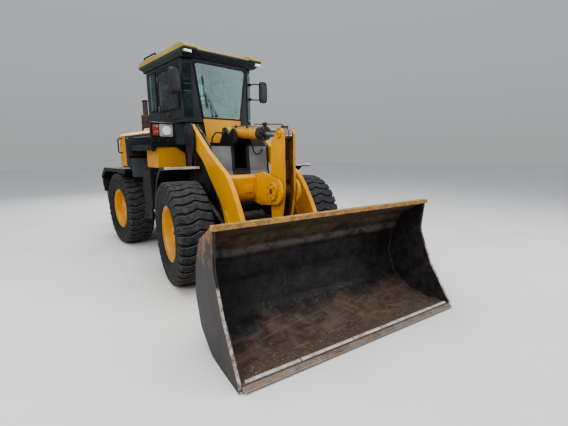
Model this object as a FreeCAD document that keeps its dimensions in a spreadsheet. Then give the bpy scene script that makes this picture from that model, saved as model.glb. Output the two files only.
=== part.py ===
import FreeCAD, Part
import math
import os

# Articulated wheel loader, millimetres.
# Frame: +Z up, -Y forward, +X the machine's left. Everything is drawn about the
# vertical articulation axis at ground level; the front half is then turned about
# that axis by the angle at which the machine is parked, and the whole is moved by
# (origin_x, origin_y) so that the origin is on the ground at the middle of the
# parked machine.

doc = FreeCAD.newDocument("WheelLoader")
V = FreeCAD.Vector

# ---------------------------------------------------------------- dimensions
sheet = doc.addObject("Spreadsheet::Sheet", "dims")
DIMS = [
    # alias, value
    ("park_turn", -10.4),
    ("axle_reach", 1426),
    ("half_track", 930),
    ("hub_height", 655),
    ("tyre_radius", 655),
    ("tyre_width", 446),
    ("rim_radius", 360),
    ("rim_width", 360),
    ("arm_centre", 505),
    ("arm_plate", 60),
    ("tower_inner", 425),
    ("tower_plate", 30),
    ("bucket_width", 2490),
    ("bucket_side", 25),
    ("edge_width", 2436),
    ("cab_half", 640),
    ("cab_wall", 45),
    ("cab_front", -430),
    ("cab_back", 934),
    ("cab_low", 1790),
    ("cab_step", 2120),
    ("cab_top", 3030),
    ("door_thick", 35),
    ("glass_thick", 6),
    ("rail_inner", 330),
    ("rail_plate", 30),
    ("frame_low", 500),
    ("frame_high", 1060),
    ("weight_half", 900),
    ("weight_long", 560),
    ("fender_inner", 662),
    ("fender_outer", 1110),
    ("pin_clear", 0.05),
    ("origin_x", 390),
    ("origin_y", 346),
]
for row, (alias, value) in enumerate(DIMS, 1):
    sheet.set("A%d" % row, alias)
    sheet.set("B%d" % row, str(value))
    sheet.setAlias("B%d" % row, alias)
doc.recompute()


def dim(alias):
    return float(sheet.get(alias))


# Pin centres in the straight front half (y, z), seen from the machine's left.
BOOM_FOOT = (-640.0, 1960.0)
BUCKET_PIN = (-2745.0, 295.0)
BELL_PIVOT = (-2364.0, 1215.0)
BELL_TOP = (-2430.0, 1850.0)
BELL_LOW = (-2350.0, 410.0)
LINK_BUCKET = (-2780.0, 515.0)
TILT_BASE = (-960.0, 1950.0)
LIFT_BASE = (-780.0, 1150.0)
LIFT_EYE = (-2010.0, 640.0)
STEER_FRONT = (255.0, -365.0)
STEER_REAR = (250.0, 480.0)
STEER_Z = 745.0

TURN = math.radians(dim("park_turn"))
HUB = dim("hub_height")
REACH = dim("axle_reach")
TRACK = dim("half_track")
CLEAR = dim("pin_clear")
bodies_made = []
count = {}


# ------------------------------------------------------------------- helpers
def unique(name):
    count[name] = count.get(name, 0) + 1
    return name if count[name] == 1 else "%s_%d" % (name, count[name])


def rounded(points):
    """A closed outline as lines and arcs. A point (a, b, r) has its corner rounded to r."""
    pts = [tuple(p) if len(p) == 3 else (p[0], p[1], 0.0) for p in points]
    n = len(pts)
    segs = []
    ends = []
    for i in range(n):
        a, b, r = pts[i]
        p = V(a, b, 0)
        if r <= 0:
            ends.append((p, p, None))
            continue
        q0 = V(pts[i - 1][0], pts[i - 1][1], 0)
        q1 = V(pts[(i + 1) % n][0], pts[(i + 1) % n][1], 0)
        u = (q0 - p).normalize()
        w = (q1 - p).normalize()
        ang = math.acos(max(-1, min(1, u.dot(w))))
        t = r / math.tan(ang / 2)
        t = min(t, 0.49 * (q0 - p).Length, 0.49 * (q1 - p).Length)
        rr = t * math.tan(ang / 2)
        centre = p + (u + w).normalize() * (rr / math.sin(ang / 2))
        s, e = p + u * t, p + w * t
        mid = centre + (p - centre).normalize() * rr
        ends.append((s, e, mid))
    for i in range(n):
        s, e, mid = ends[i]
        if mid is not None:
            segs.append(Part.Arc(s, mid, e))
        nxt = ends[(i + 1) % n][0]
        if (nxt - e).Length > 1e-6:
            segs.append(Part.LineSegment(e, nxt))
    return segs


PLANES = {"yz": "YZ_Plane", "xz": "XZ_Plane", "xy": "XY_Plane"}


def plane_of(body, key):
    for f in body.Origin.OriginFeatures:
        if getattr(f, "Role", "") == PLANES[key]:
            return f
    raise RuntimeError("no plane")


def pad(name, plane, points, start, length, holes=(), bind=None):
    """A padded outline. start is the low coordinate along the pad's axis; holes are (a, b, r) or outlines."""
    body = doc.addObject("PartDesign::Body", unique(name))
    sk = body.newObject("Sketcher::SketchObject", unique(name + "_sketch"))
    sk.AttachmentSupport = [(plane_of(body, plane), "")]
    sk.MapMode = "FlatFace"
    sk.addGeometry(rounded(points), False)
    for hole in holes:
        if len(hole) == 3 and not isinstance(hole[0], (tuple, list)):
            sk.addGeometry(Part.Circle(V(hole[0], hole[1], 0), V(0, 0, 1), hole[2]), False)
        else:
            sk.addGeometry(rounded(hole), False)
    feature = body.newObject("PartDesign::Pad", unique(name + "_pad"))
    feature.Profile = sk
    feature.Length = length
    if bind:
        feature.setExpression("Length", bind)
    sk.Visibility = False
    if plane == "yz":
        base = V(start, 0, 0)
    elif plane == "xz":
        base = V(0, start + length, 0)
    else:
        base = V(0, 0, start)
    body.Placement = FreeCAD.Placement(base, FreeCAD.Rotation())
    return body


def both(name, plane, points, start, length, holes=(), bind=None):
    """The same plate at +X and at -X."""
    if plane == "yz":
        return [pad(name, plane, points, start, length, holes, bind),
                pad(name, plane, points, -start - length, length, holes, bind)]
    flip = [tuple([-p[0]] + list(p[1:])) for p in points][::-1]
    flipped = []
    for hole in holes:
        if len(hole) == 3 and not isinstance(hole[0], (tuple, list)):
            flipped.append((-hole[0], hole[1], hole[2]))
        else:
            flipped.append([tuple([-p[0]] + list(p[1:])) for p in hole][::-1])
    return [pad(name, plane, points, start, length, holes, bind),
            pad(name, plane, flip, start, length, flipped, bind)]


def box(name, x0, x1, y0, y1, z0, z1, bind=None):
    o = doc.addObject("Part::Box", unique(name))
    o.Length, o.Width, o.Height = x1 - x0, y1 - y0, z1 - z0
    o.Placement = FreeCAD.Placement(V(x0, y0, z0), FreeCAD.Rotation())
    for prop, text in (bind or {}).items():
        o.setExpression(prop, text)
    return o


def box2(name, x0, x1, y0, y1, z0, z1):
    return [box(name, x0, x1, y0, y1, z0, z1), box(name, -x1, -x0, y0, y1, z0, z1)]


def rod(name, p0, p1, r, bind=None):
    a, b = V(*p0), V(*p1)
    o = doc.addObject("Part::Cylinder", unique(name))
    o.Radius = r
    o.Height = (b - a).Length
    o.Placement = FreeCAD.Placement(a, FreeCAD.Rotation(V(0, 0, 1), b - a))
    if bind:
        o.setExpression("Radius", bind)
    return o


def xpin(name, y, z, x0, x1, r):
    return rod(name, (x0, y, z), (x1, y, z), r)


def xpin2(name, y, z, x0, x1, r):
    return [xpin(name, y, z, x0, x1, r), xpin(name, y, z, -x1, -x0, r)]


def tube(name, points, r, bend=60):
    """A round bar along straight runs joined by tangent bends."""
    pts = [V(*p) for p in points]
    edges = []
    prev = pts[0]
    for i in range(1, len(pts) - 1):
        p = pts[i]
        u = (pts[i - 1] - p).normalize()
        w = (pts[i + 1] - p).normalize()
        ang = math.acos(max(-1, min(1, u.dot(w))))
        if abs(ang - math.pi) < 1e-3:
            continue
        t = bend / math.tan(ang / 2)
        t = min(t, 0.45 * (pts[i - 1] - p).Length, 0.45 * (pts[i + 1] - p).Length)
        rr = t * math.tan(ang / 2)
        c = p + (u + w).normalize() * (rr / math.sin(ang / 2))
        s, e = p + u * t, p + w * t
        m = c + (p - c).normalize() * rr
        edges.append(Part.LineSegment(prev, s).toShape())
        edges.append(Part.Arc(s, m, e).toShape())
        prev = e
    edges.append(Part.LineSegment(prev, pts[-1]).toShape())
    wire = Part.Wire(edges)
    d = (pts[1] - pts[0]).normalize()
    profile = Part.Wire([Part.Circle(pts[0], d, r).toShape()])
    o = doc.addObject("Part::Feature", unique(name))
    o.Shape = wire.makePipeShell([profile], True, True)
    return o


def turned(name, profile, x, y, z, out=1):
    """A piece turned about an axle along X. profile is (distance outboard, radius) outline."""
    body = doc.addObject("PartDesign::Body", unique(name))
    sk = body.newObject("Sketcher::SketchObject", unique(name + "_sketch"))
    sk.AttachmentSupport = [(plane_of(body, "xz"), "")]
    sk.MapMode = "FlatFace"
    pts = [tuple([out * p[0]] + list(p[1:])) for p in profile]
    sk.addGeometry(rounded(pts), False)
    rev = body.newObject("PartDesign::Revolution", unique(name + "_turn"))
    rev.Profile = sk
    rev.ReferenceAxis = (sk, ["H_Axis"])
    rev.Angle = 360
    body.Placement = FreeCAD.Placement(V(x, y, z), FreeCAD.Rotation())
    return body


def fuse(name, pieces):
    flat = []
    for p in pieces:
        flat.extend(p if isinstance(p, list) else [p])
    if len(flat) == 1:
        return flat[0]
    o = doc.addObject("Part::MultiFuse", unique(name))
    o.Shapes = flat
    return o


def cut(name, base, tools):
    base = fuse(name + "_base", base) if isinstance(base, list) else base
    tool = fuse(name + "_tool", tools)
    o = doc.addObject("Part::Cut", unique(name))
    o.Base, o.Tool = base, tool
    return o


def apart(name, pieces):
    """Separate solids of one sub-part."""
    flat = []
    for p in pieces:
        flat.extend(p if isinstance(p, list) else [p])
    o = doc.addObject("Part::Compound", unique(name))
    o.Links = flat
    return o


NODES = []


def node(label, obj, front=False):
    """Names a sub-part and places it; front ones turn with the front half about the articulation axis."""
    if obj.TypeId in ("PartDesign::Body", "Part::Box", "Part::Cylinder", "Part::Feature"):
        obj = apart(label + "_set", [obj])
    angle = dim("park_turn") if front else 0.0
    obj.Placement = FreeCAD.Placement(V(dim("origin_x"), dim("origin_y"), 0), FreeCAD.Rotation(V(0, 0, 1), angle))
    obj.setExpression("Placement.Base.x", "dims.origin_x * 1mm")
    obj.setExpression("Placement.Base.y", "dims.origin_y * 1mm")
    if front:
        obj.setExpression("Placement.Rotation.Angle", "dims.park_turn * 1deg")
    obj.Label = label
    NODES.append((label, obj))


def along(p, q, d, off=0.0):
    """Point at distance d from p toward q in the (y, z) plane, off to the left of travel."""
    L = math.hypot(q[0] - p[0], q[1] - p[1])
    u = ((q[0] - p[0]) / L, (q[1] - p[1]) / L)
    return (p[0] + u[0] * d - u[1] * off, p[1] + u[1] * d + u[0] * off)


def dist(p, q):
    return math.hypot(q[0] - p[0], q[1] - p[1])


# --------------------------------------------------------------------- wheels
RIM = dim("rim_radius")
TW = dim("tyre_width") / 2
TR = dim("tyre_radius")
RW = dim("rim_width") / 2
tyre_profile = [
    (-RW + 20, RIM - 36), (-RW + 17, RIM + 2), (-RW - 12, RIM + 5, 8), (-TW + 6, RIM + 50, 40), (-TW, TR - 150, 60),
    (-TW + 22, TR - 12, 26), (0, TR), (TW - 22, TR - 12, 26), (TW, TR - 150, 60), (TW - 6, RIM + 50, 40),
    (RW + 12, RIM + 5, 8), (RW - 17, RIM + 2), (RW - 20, RIM - 36), (RW - 51, RIM - 50), (-RW + 51, RIM - 50),
]
# Rim: barrel, flange and a dished disc that carries the hub.
rim_profile = [
    (-RW + 18, RIM - 52), (-RW, RIM - 40, 6), (-RW, RIM - 2, 4), (-RW + 14, RIM - 2, 4), (-RW + 18, RIM - 37),
    (-RW + 52, RIM - 51), (RW - 52, RIM - 51), (RW - 18, RIM - 37), (RW - 14, RIM - 2, 4), (RW, RIM - 2, 4),
    (RW, RIM - 40, 6), (RW - 30, RIM - 62), (60, RIM - 78), (40, RIM - 110), (30, 230, 20), (64, 170, 20),
    (110, 150, 14), (118, 0), (8, 0), (8, 235, 20), (14, RIM - 100), (-10, RIM - 66),
]
WHEELS = [
    # name, side, front
    ("front_left", 1, True), ("front_right", -1, True), ("rear_left", 1, False), ("rear_right", -1, False),
]
for wname, side, front in WHEELS:
    y = -REACH if front else REACH
    node("tyre_" + wname, turned("tyre_" + wname, tyre_profile, side * TRACK, y, HUB, side), front)
    rim = turned("rim_" + wname, rim_profile, side * TRACK, y, HUB, side)
    node("rim_" + wname, rim, front)

# ------------------------------------------------------------------ rear frame
RI, RP = dim("rail_inner"), dim("rail_plate")
rail = [(386, 505), (620, 470), (2900, 560), (2900, 1010), (620, 1060), (386, 1060)]
lug = [(-200, 320), (-130, 60, 60), (-110, -40, 60), (-70, -110, 60), (70, -110, 60), (110, -40, 60), (130, 60, 60),
       (200, 320), (RI + 10, 330), (RI + 10, 420), (-RI - 10, 420), (-RI - 10, 330)]
PIN_R = 45.0
rear_bits = []
rear_bits += both("rear_rail", "yz", rail, RI, RP, bind="dims.rail_plate")
for z0 in (890, 990, 470, 570):
    rear_bits.append(pad("rear_lug", "xy", lug, z0, 35))
rear_bits.append(box("rear_bulkhead", -RI - 5, RI + 5, 385, 420, 470, 1060))
rear_bits.append(box("rear_cross", -RI - 5, RI + 5, 1180, 1220, 760, 1010))
rear_bits.append(box("rear_cross", -RI - 5, RI + 5, 1640, 1680, 760, 1010))
rear_bits.append(box("rear_end", -RI - 5, RI + 5, 2860, 2900, 560, 1010))
rear_bits.append(rod("hitch_pin_top", (0, 0, 880), (0, 0, 1040), PIN_R))
rear_bits.append(rod("hitch_pin_low", (0, 0, 460), (0, 0, 620), PIN_R))
# Seats of the steering cylinders' rear pins.
for s in (1, -1):
    rear_bits.append(box("steer_seat", s * 250 - 45, s * 250 + 45, 440, 500, STEER_Z - 80, STEER_Z - 45))
    rear_bits.append(box("steer_seat", s * 250 - 45, s * 250 + 45, 440, 500, STEER_Z + 45, STEER_Z + 80))
    rear_bits.append(box("steer_seat_back", s * 250 - 45, s * 250 + 45, 415, 440, STEER_Z - 80, STEER_Z - 45))
    rear_bits.append(rod("steer_rear_pin", (s * STEER_REAR[0], STEER_REAR[1], STEER_Z - 90),
                         (s * STEER_REAR[0], STEER_REAR[1], STEER_Z + 90), 22))
node("rear_frame", cut("rear_frame", fuse("rear_frame_solid", rear_bits),
                       [xpin("rear_axle_gap", REACH, HUB, -500, 500, 128)] +
                       box2("steer_window", 150, 345, 380, 425, STEER_Z - 62, STEER_Z + 62)))

# ------------------------------------------------------------------- rear axle
def axle(name, y):
    half = [(-TRACK + 150, 60), (-TRACK + 150, 130, 20), (-TRACK + 230, 130, 20), (-TRACK + 260, 105, 20), (-430, 100, 30),
            (-250, 130, 60), (-190, 215, 60), (190, 215, 60), (250, 130, 60), (430, 100, 30), (TRACK - 260, 105, 20),
            (TRACK - 230, 130, 20), (TRACK - 150, 130, 20), (TRACK - 150, 60), (TRACK + 4, 60), (TRACK + 4, 0),
            (-TRACK - 4, 0), (-TRACK - 4, 60)]
    return turned(name, half, 0, y, HUB)


node("rear_axle", axle("rear_axle", REACH))
node("front_axle", axle("front_axle", -REACH), True)

# ------------------------------------------------------------ engine, hood
HOOD = 610.0
HOOD_LOW, HOOD_F, HOOD_R = 1400.0, 966.0, 2790.0
hood_outer = [(-HOOD, HOOD_LOW), (-HOOD, 2040, 30), (-520, 2090, 90), (520, 2090, 90), (HOOD, 2040, 30), (HOOD, HOOD_LOW)]
hood_inner = [(-HOOD + 8, HOOD_LOW - 5), (-HOOD + 8, 2034, 24), (-518, 2082, 84), (518, 2082, 84), (HOOD - 8, 2034, 24),
              (HOOD - 8, HOOD_LOW - 5)]
crown = [(-400, 2080), (-360, 2165, 50), (360, 2165, 50), (400, 2080)]
DOOR_Y0, DOOR_Y1, DOOR_Z0, DOOR_Z1 = 1010.0, 2380.0, 1425.0, 1975.0
node("hood", cut("hood", [pad("hood_skin", "xz", hood_outer, HOOD_F, HOOD_R - HOOD_F),
                          pad("hood_crown", "xz", crown, 1000, 950)],
                 [pad("hood_room", "xz", hood_inner, HOOD_F + 8, HOOD_R - HOOD_F),
                  box2("hood_mouth", HOOD - 30, HOOD + 30, DOOR_Y0, DOOR_Y1, DOOR_Z0, DOOR_Z1),
                  rod("stack_hole", (-230, 2150, 1980), (-230, 2150, 2140), 60)]))
SLOTS = [
    # y start, y end, z of the lowest slot, rows
    (1110.0, 1640.0, 1520.0, 7), (1740.0, 2270.0, 1520.0, 7),
]
for side, sname in ((1, "left"), (-1, "right")):
    x0, x1 = HOOD - 22, HOOD
    panel = box("hood_door_" + sname, min(side * x0, side * x1), max(side * x0, side * x1),
                DOOR_Y0 + 6, DOOR_Y1 - 6, DOOR_Z0 + 6, DOOR_Z1 - 6)
    slots = []
    for ya, yb, za, rows in SLOTS:
        for i in range(rows):
            z = za + i * 56
            slots.append(box("louvre", min(side * (x0 - 5), side * (x1 + 5)), max(side * (x0 - 5), side * (x1 + 5)),
                             ya, yb, z, z + 22))
    node("hood_door_" + sname, cut("hood_door_" + sname, panel, slots))
grille = box("rear_grille", -560, 560, HOOD_R + 6, HOOD_R + 40, 1290, 1990)
gaps = [box("grille_gap", -510, 510, HOOD_R, HOOD_R + 50, 1340 + i * 60, 1340 + i * 60 + 34) for i in range(11)]
node("rear_grille", cut("rear_grille", grille, gaps))
node("engine_block", box("engine_block", -300, 300, 1200, 2300, 1066, 1800))
node("radiator", fuse("radiator", [box("radiator_core", -520, 520, 2560, 2680, 1290, 1950),
                                   box("radiator_foot", -520, -440, 2560, 2680, 1256, 1295),
                                   box("radiator_foot", 440, 520, 2560, 2680, 1256, 1295)]))
node("exhaust_stack", fuse("exhaust_stack", [rod("exhaust_pipe", (-230, 2150, 2082), (-230, 2150, 2720), 50),
                                             rod("exhaust_shell", (-230, 2150, 2100), (-230, 2150, 2450), 92)]))

# ------------------------------------------------------------ counterweight
WH = dim("weight_half")
weight = [(2560, 1250), (3020, 1250, 40), (3262, 1085, 50), (3245, 960, 40), (3010, 850, 60), (2975, 620, 40), (2905, 620),
          (2905, 720), (2560, 860)]
tow = [(-110, 2960), (110, 2960), (110, 3060), (60, 3125, 60), (-60, 3125, 60), (-110, 3060)]
node("counterweight", cut("counterweight", [pad("counterweight", "yz", weight, -WH, 2 * WH),
                                            pad("tow_plate", "xy", tow, 670, 60), pad("tow_plate", "xy", tow, 768, 60)],
                          [box("weight_slot", -RI - 40, RI + 40, 2500, 2905, 400, 1015),
                           box("weight_slot", -430, 430, 2500, 2790, 1015, 1300),
                           rod("tow_bore", (0, 3060, 600), (0, 3060, 840), 26)]))

# ------------------------------------------------------------- fenders, steps
FI, FO = dim("fender_inner"), dim("fender_outer")
rear_fender = [(960, 1395), (2170, 1395, 90), (2400, 1230, 40), (2400, 1170), (2386, 1170), (2386, 1224, 36),
               (2164, 1381, 80), (960, 1381)]
rear_fender_side = [(960, 1300), (960, 1386), (2164, 1386), (2390, 1228), (2390, 1180), (2300, 1220), (2100, 1325),
                    (1426, 1335)]
# An upright shield stands in front of each rear wheel, its lower half drawn in at the outside.
shield = [(1058, 1600), (1058, 1925, 30), (640, 1925), (640, 1610)]
shield_low = [(1050, 1590), (1000, 1235, 30), (690, 1235, 20), (625, 1390, 20), (640, 1590)]
fenders = []
for s in (1, -1):
    a = FO + 20
    fenders.append(fuse("rear_fender", [
        pad("rear_fender", "yz", rear_fender, 365 if s > 0 else -a, a - 365),
        pad("rear_fender_lip", "yz", rear_fender_side, a - 12 if s > 0 else -a, 12),
        pad("shield", "xz", [(s * p[0],) + tuple(p[1:]) for p in shield], 898, 62),
        pad("shield_low", "xz", [(s * p[0],) + tuple(p[1:]) for p in shield_low], 890, 70),
        box("shield_web", *((642, 1050) if s > 0 else (-1050, -642)), 930, 960, 1560, 1640)]))
node("rear_fenders", apart("rear_fenders", fenders))
front_fender = [(-1400, 1462), (-1400, 1482, 6), (-1160, 1478, 60), (-940, 1330, 60), (-740, 1010, 40), (-655, 780),
                (-668, 776), (-752, 1000, 36), (-950, 1318, 54), (-1166, 1464, 54)]
fender_bits = []
for s in (1, -1):
    x0, x1 = (FI, FO) if s > 0 else (-FO, -FI)
    bx0, bx1 = (456, 680) if s > 0 else (-680, -456)
    fender_bits.append(fuse("front_fender", [
        pad("front_fender", "yz", front_fender, x0, FO - FI),
        pad("front_fender_lip", "yz", [(-1400, 1440), (-1400, 1470), (-1163, 1470), (-945, 1324), (-746, 1005),
                                       (-662, 778), (-690, 790), (-780, 990), (-970, 1290), (-1180, 1430)],
            FO - 10 if s > 0 else -FO, 10),
        box("fender_arm", bx0, bx1, -760, -715, 950, 1000),
        box("fender_arm", bx0, bx1, -692, -650, 796, 840)]))
node("front_fenders", apart("front_fenders", fender_bits), True)

# The left side has the ladder, the right side a battery box; a deck on each side
# runs along the cab, with the tank under it behind an arched front plate.
def sx(s, a, b):
    return (a, b) if s > 0 else (-b, -a)


ladder = [box("ladder_side", 1000, 1014, 200, 560, 560, 1740), box("ladder_side", 700, 714, 200, 560, 560, 1428),
          box("ladder_tie", 361, 706, 520, 560, 900, 960), box("ladder_tie", 361, 706, 480, 560, 600, 640)]
TREADS = [
    # height, depth at the front
    (600.0, 215.0), (880.0, 225.0), (1150.0, 235.0),
]
for z, y in TREADS:
    ladder.append(box("tread", 708, 1006, y, 545, z, z + 26))
ladder.append(box("ladder_top", 934, 1014, 200, 560, 1690, 1744))
battery = fuse("battery_box", [box("battery_box", -980, -480, 200, 560, 760, 1400),
                               box("battery_tie", -490, -361, 400, 440, 900, 960),
                               box("battery_tie", -490, -361, 500, 540, 900, 960),
                               box("right_step", -1010, -700, 215, 545, 600, 626),
                               box("step_hanger", -990, -975, 230, 530, 615, 800),
                               box("step_hanger", -735, -720, 230, 530, 615, 800)])
node("steps", apart("steps", [fuse("ladder", ladder), battery]))
decks = []
arch = [(380, 1430), (380, 1784), (642, 1784), (642, 1880), (1018, 1880), (1018, 1684), (972, 1684, 12), (950, 1756, 60),
        (640, 1768, 60), (470, 1650, 30), (470, 1430)]
for s in (1, -1):
    pts = [(s * p[0],) + tuple(p[1:]) for p in arch]
    decks.append(fuse("deck", [box("deck", *sx(s, 642, 1030), -40, 880, 1770, 1784),
                               box("deck_skirt", *sx(s, 1016, 1030), -40, 880, 1700, 1775),
                               pad("arch", "xz", pts, -40, 24)]))
node("decks", apart("decks", decks))
tank = [(-14, 1430), (-14, 1765, 20), (420, 1765, 20), (420, 1430)]
tanks = both("side_tank", "yz", tank, 430, 500)
node("side_tanks", apart("side_tanks", [cut("side_tank", tanks[0], [pad("tank_corner", "xz", [(380, 1650), (600, 1800), (380, 1800)], -60, 600)]),
                                        cut("side_tank", tanks[1], [pad("tank_corner", "xz", [(-380, 1650), (-380, 1800), (-600, 1800)], -60, 600)])]))

# ------------------------------------------------------------------------ cab
CH, CW = dim("cab_half"), dim("cab_wall")
CF, CB = dim("cab_front"), dim("cab_back")
CLOW, CSTEP, CTOP = dim("cab_low"), dim("cab_step"), dim("cab_top")
DT = dim("door_thick")
low_plan = [(-300, -420), (300, -420), (350, -404), (628, -72), (CH, -48), (CH, CB), (-CH, CB), (-CH, -48),
            (-628, -72), (-350, -404)]
low_room = [(-275, -378), (275, -378), (590, -20), (CH - CW, 20), (CH - CW, CB - CW), (-CH + CW, CB - CW),
            (-CH + CW, 20), (-590, -20)]
up_plan = [(-480, CF), (480, CF), (CH, -330), (CH, CB), (-CH, CB), (-CH, -330)]
up_room = [(-466, CF + CW), (466, CF + CW), (CH - CW, -304), (CH - CW, CB - CW), (-CH + CW, CB - CW), (-CH + CW, -304)]
# Door opening in the side wall (y, z): the lower front corner stays behind the boom's foot at full lock.
door_hole = [(-300, 2170), (-6, 2170, 30), (24, 2140, 30), (24, 1836, 50), (470, 1836, 50), (470, 2975, 60),
             (-300, 2975, 60)]
door_out = [(-294, 2176), (-3, 2176, 30), (30, 2143, 30), (30, 1842, 44), (464, 1842, 44), (464, 2969, 54),
            (-294, 2969, 54)]
door_pane = [(-250, 2345, 30), (425, 2345, 30), (425, 2925, 50), (-250, 2925, 50)]
quarter = [(548, 2370, 30), (800, 2370, 30), (800, 2960, 50), (548, 2960, 50)]
wind = [(-340, 2195, 20), (340, 2195, 20), (455, 2975, 30), (-455, 2975, 30)]
rear_pane = [(-520, 2230, 40), (520, 2230, 40), (520, 2960, 40), (-520, 2960, 40)]
corner_pane = [(0, 2200, 20), (105, 2200, 20), (105, 2960, 20), (0, 2960, 20)]


def corner(name, points, depth, s, lift_off):
    """A plate in the slanted front corner of the cab, set off outward by lift_off."""
    body = pad(name, "xz", points, 0, depth)
    # The slanted wall runs from (480, front) to (cab_half, -330) in plan.
    a = V(480, CF, 0)
    b = V(CH, -330, 0)
    d = (b - a).normalize()
    out = V(d.y, -d.x, 0)
    start = a + d * 42 + out * lift_off
    if s > 0:
        rot = FreeCAD.Rotation(d, out * -1, V(0, 0, 1), "XZY")
        base = start + out * -0.0
        body.Placement = FreeCAD.Placement(base, rot).multiply(FreeCAD.Placement(V(0, depth, 0), FreeCAD.Rotation()))
    else:
        d2, out2 = V(-d.x, d.y, 0), V(-out.x, out.y, 0)
        start2 = V(-start.x, start.y, 0) + d2 * 105
        rot = FreeCAD.Rotation(d2 * -1, out2 * -1, V(0, 0, 1), "XZY")
        body.Placement = FreeCAD.Placement(start2, rot).multiply(FreeCAD.Placement(V(0, depth, 0), FreeCAD.Rotation()))
    return body


cab_solid = fuse("cab_solid", [pad("cab_low", "xy", low_plan, CLOW, CSTEP + 40 - CLOW),
                               pad("cab_up", "xy", up_plan, CSTEP, CTOP - CSTEP, bind="dims.cab_top - dims.cab_step")])
cab_tools = [pad("cab_low_room", "xy", low_room, CLOW + 40, CSTEP + 60 - CLOW - 40),
             pad("cab_up_room", "xy", up_room, CSTEP + 40, CTOP - CSTEP - 80),
             pad("cab_mid", "xy", low_room, CSTEP, 80),
             pad("door_hole", "yz", door_hole, -CH - 60, 160), pad("door_hole", "yz", door_hole, CH - 100, 160),
             pad("quarter_hole", "yz", quarter, -CH - 60, 160), pad("quarter_hole", "yz", quarter, CH - 100, 160),
             pad("wind_hole", "xz", wind, CF - 60, 120),
             corner("corner_hole", corner_pane, 120, 1, 60), corner("corner_hole", corner_pane, 120, -1, 60),
             pad("rear_hole", "xz", rear_pane, CB - 100, 160)]
node("cab_shell", cut("cab_shell", cab_solid, cab_tools))
GT = dim("glass_thick")
glass = [pad("windshield", "xz", [(-350, 2185, 20), (350, 2185, 20), (468, 2988, 40), (-468, 2988, 40)], CF - GT - 1, GT),
         pad("rear_glass", "xz", [(-540, 2210, 40), (540, 2210, 40), (540, 2980, 40), (-540, 2980, 40)], CB + 1, GT)]
glass += both("quarter_glass", "yz", [(534, 2356, 30), (814, 2356, 30), (814, 2974, 50), (534, 2974, 50)], CH + 1, GT)
wide = [(-14, 2186, 20), (119, 2186, 20), (119, 2974, 20), (-14, 2974, 20)]
glass += [corner("corner_glass", wide, GT, 1, 1 + GT), corner("corner_glass", wide, GT, -1, 1 + GT)]
node("cab_glass", apart("cab_glass", glass))
for side, sname in ((1, "left"), (-1, "right")):
    lo = CH - DT if side > 0 else -CH
    node("cab_door_" + sname, pad("cab_door_" + sname, "yz", door_out, lo, DT, [door_pane], bind="dims.door_thick"))
    # The pane lies in a rebate just outside the door's frame.
    g0 = CH + 1 if side > 0 else -CH - 1 - GT
    node("door_glass_" + sname, pad("door_glass_" + sname, "yz",
                                    [(-262, 2333, 30), (437, 2333, 30), (437, 2937, 50), (-262, 2937, 50)], g0, GT))
ROOF_HALF = 690.0
roof = [(-530, 3085), (-556, 3110, 16), (-540, 3150, 20), (-470, 3172, 60), (-200, 3192, 200), (900, 3205, 60), (1100, 3185, 40), (1118, 3110, 20),
        (CB + 20, CTOP + 2), (CF - 22, CTOP + 2)]
pod = [(-300, 3060), (-500, 3078), (-596, 3098, 16), (-590, 3160, 30), (-470, 3208, 60), (-250, 3204)]
under = [(CH + 8, CTOP - 5), (ROOF_HALF + 5, 3092), (ROOF_HALF + 5, CTOP - 5)]
node("cab_roof", cut("cab_roof", [pad("cab_roof", "yz", roof, -ROOF_HALF, 2 * ROOF_HALF)] + both("roof_pod", "yz", pod, 480, 206),
                     both("roof_under", "xz", under, -700, 1900)))
node("cab_nose", pad("cab_nose", "xz", [(-292, 1812, 20), (292, 1812, 20), (352, 2178, 20), (-352, 2178, 20)], CF - 8, 7))
FLOOR = CLOW + 40
node("seat", fuse("seat", [box("seat_base", -200, 200, 260, 560, FLOOR, FLOOR + 300),
                           box("seat_pan", -260, 260, 160, 640, FLOOR + 295, FLOOR + 420),
                           pad("seat_back", "yz", [(560, FLOOR + 380), (650, FLOOR + 380), (760, FLOOR + 960, 40),
                                                   (670, FLOOR + 960, 40)], -250, 500),
                           box("seat_head", -130, 130, 680, 750, FLOOR + 950, FLOOR + 1080),
                           box2("seat_arm", 250, 320, 240, 640, FLOOR + 560, FLOOR + 615),
                           box2("seat_arm_post", 245, 320, 560, 640, FLOOR + 400, FLOOR + 570)]))
node("console", fuse("console", [
    pad("column", "yz", [(-250, FLOOR), (-140, FLOOR), (-90, FLOOR + 560), (-180, FLOOR + 600)], -60, 120),
    rod("wheel_shaft", (0, -140, FLOOR + 540), (0, -40, FLOOR + 720), 22),
    rod("wheel_disc", (0, -48, FLOOR + 708), (0, -34, FLOOR + 733), 205),
    pad("dash", "yz", [(-370, FLOOR + 380), (-170, FLOOR + 380), (-130, FLOOR + 560), (-370, FLOOR + 600)], -230, 460)]))

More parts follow.
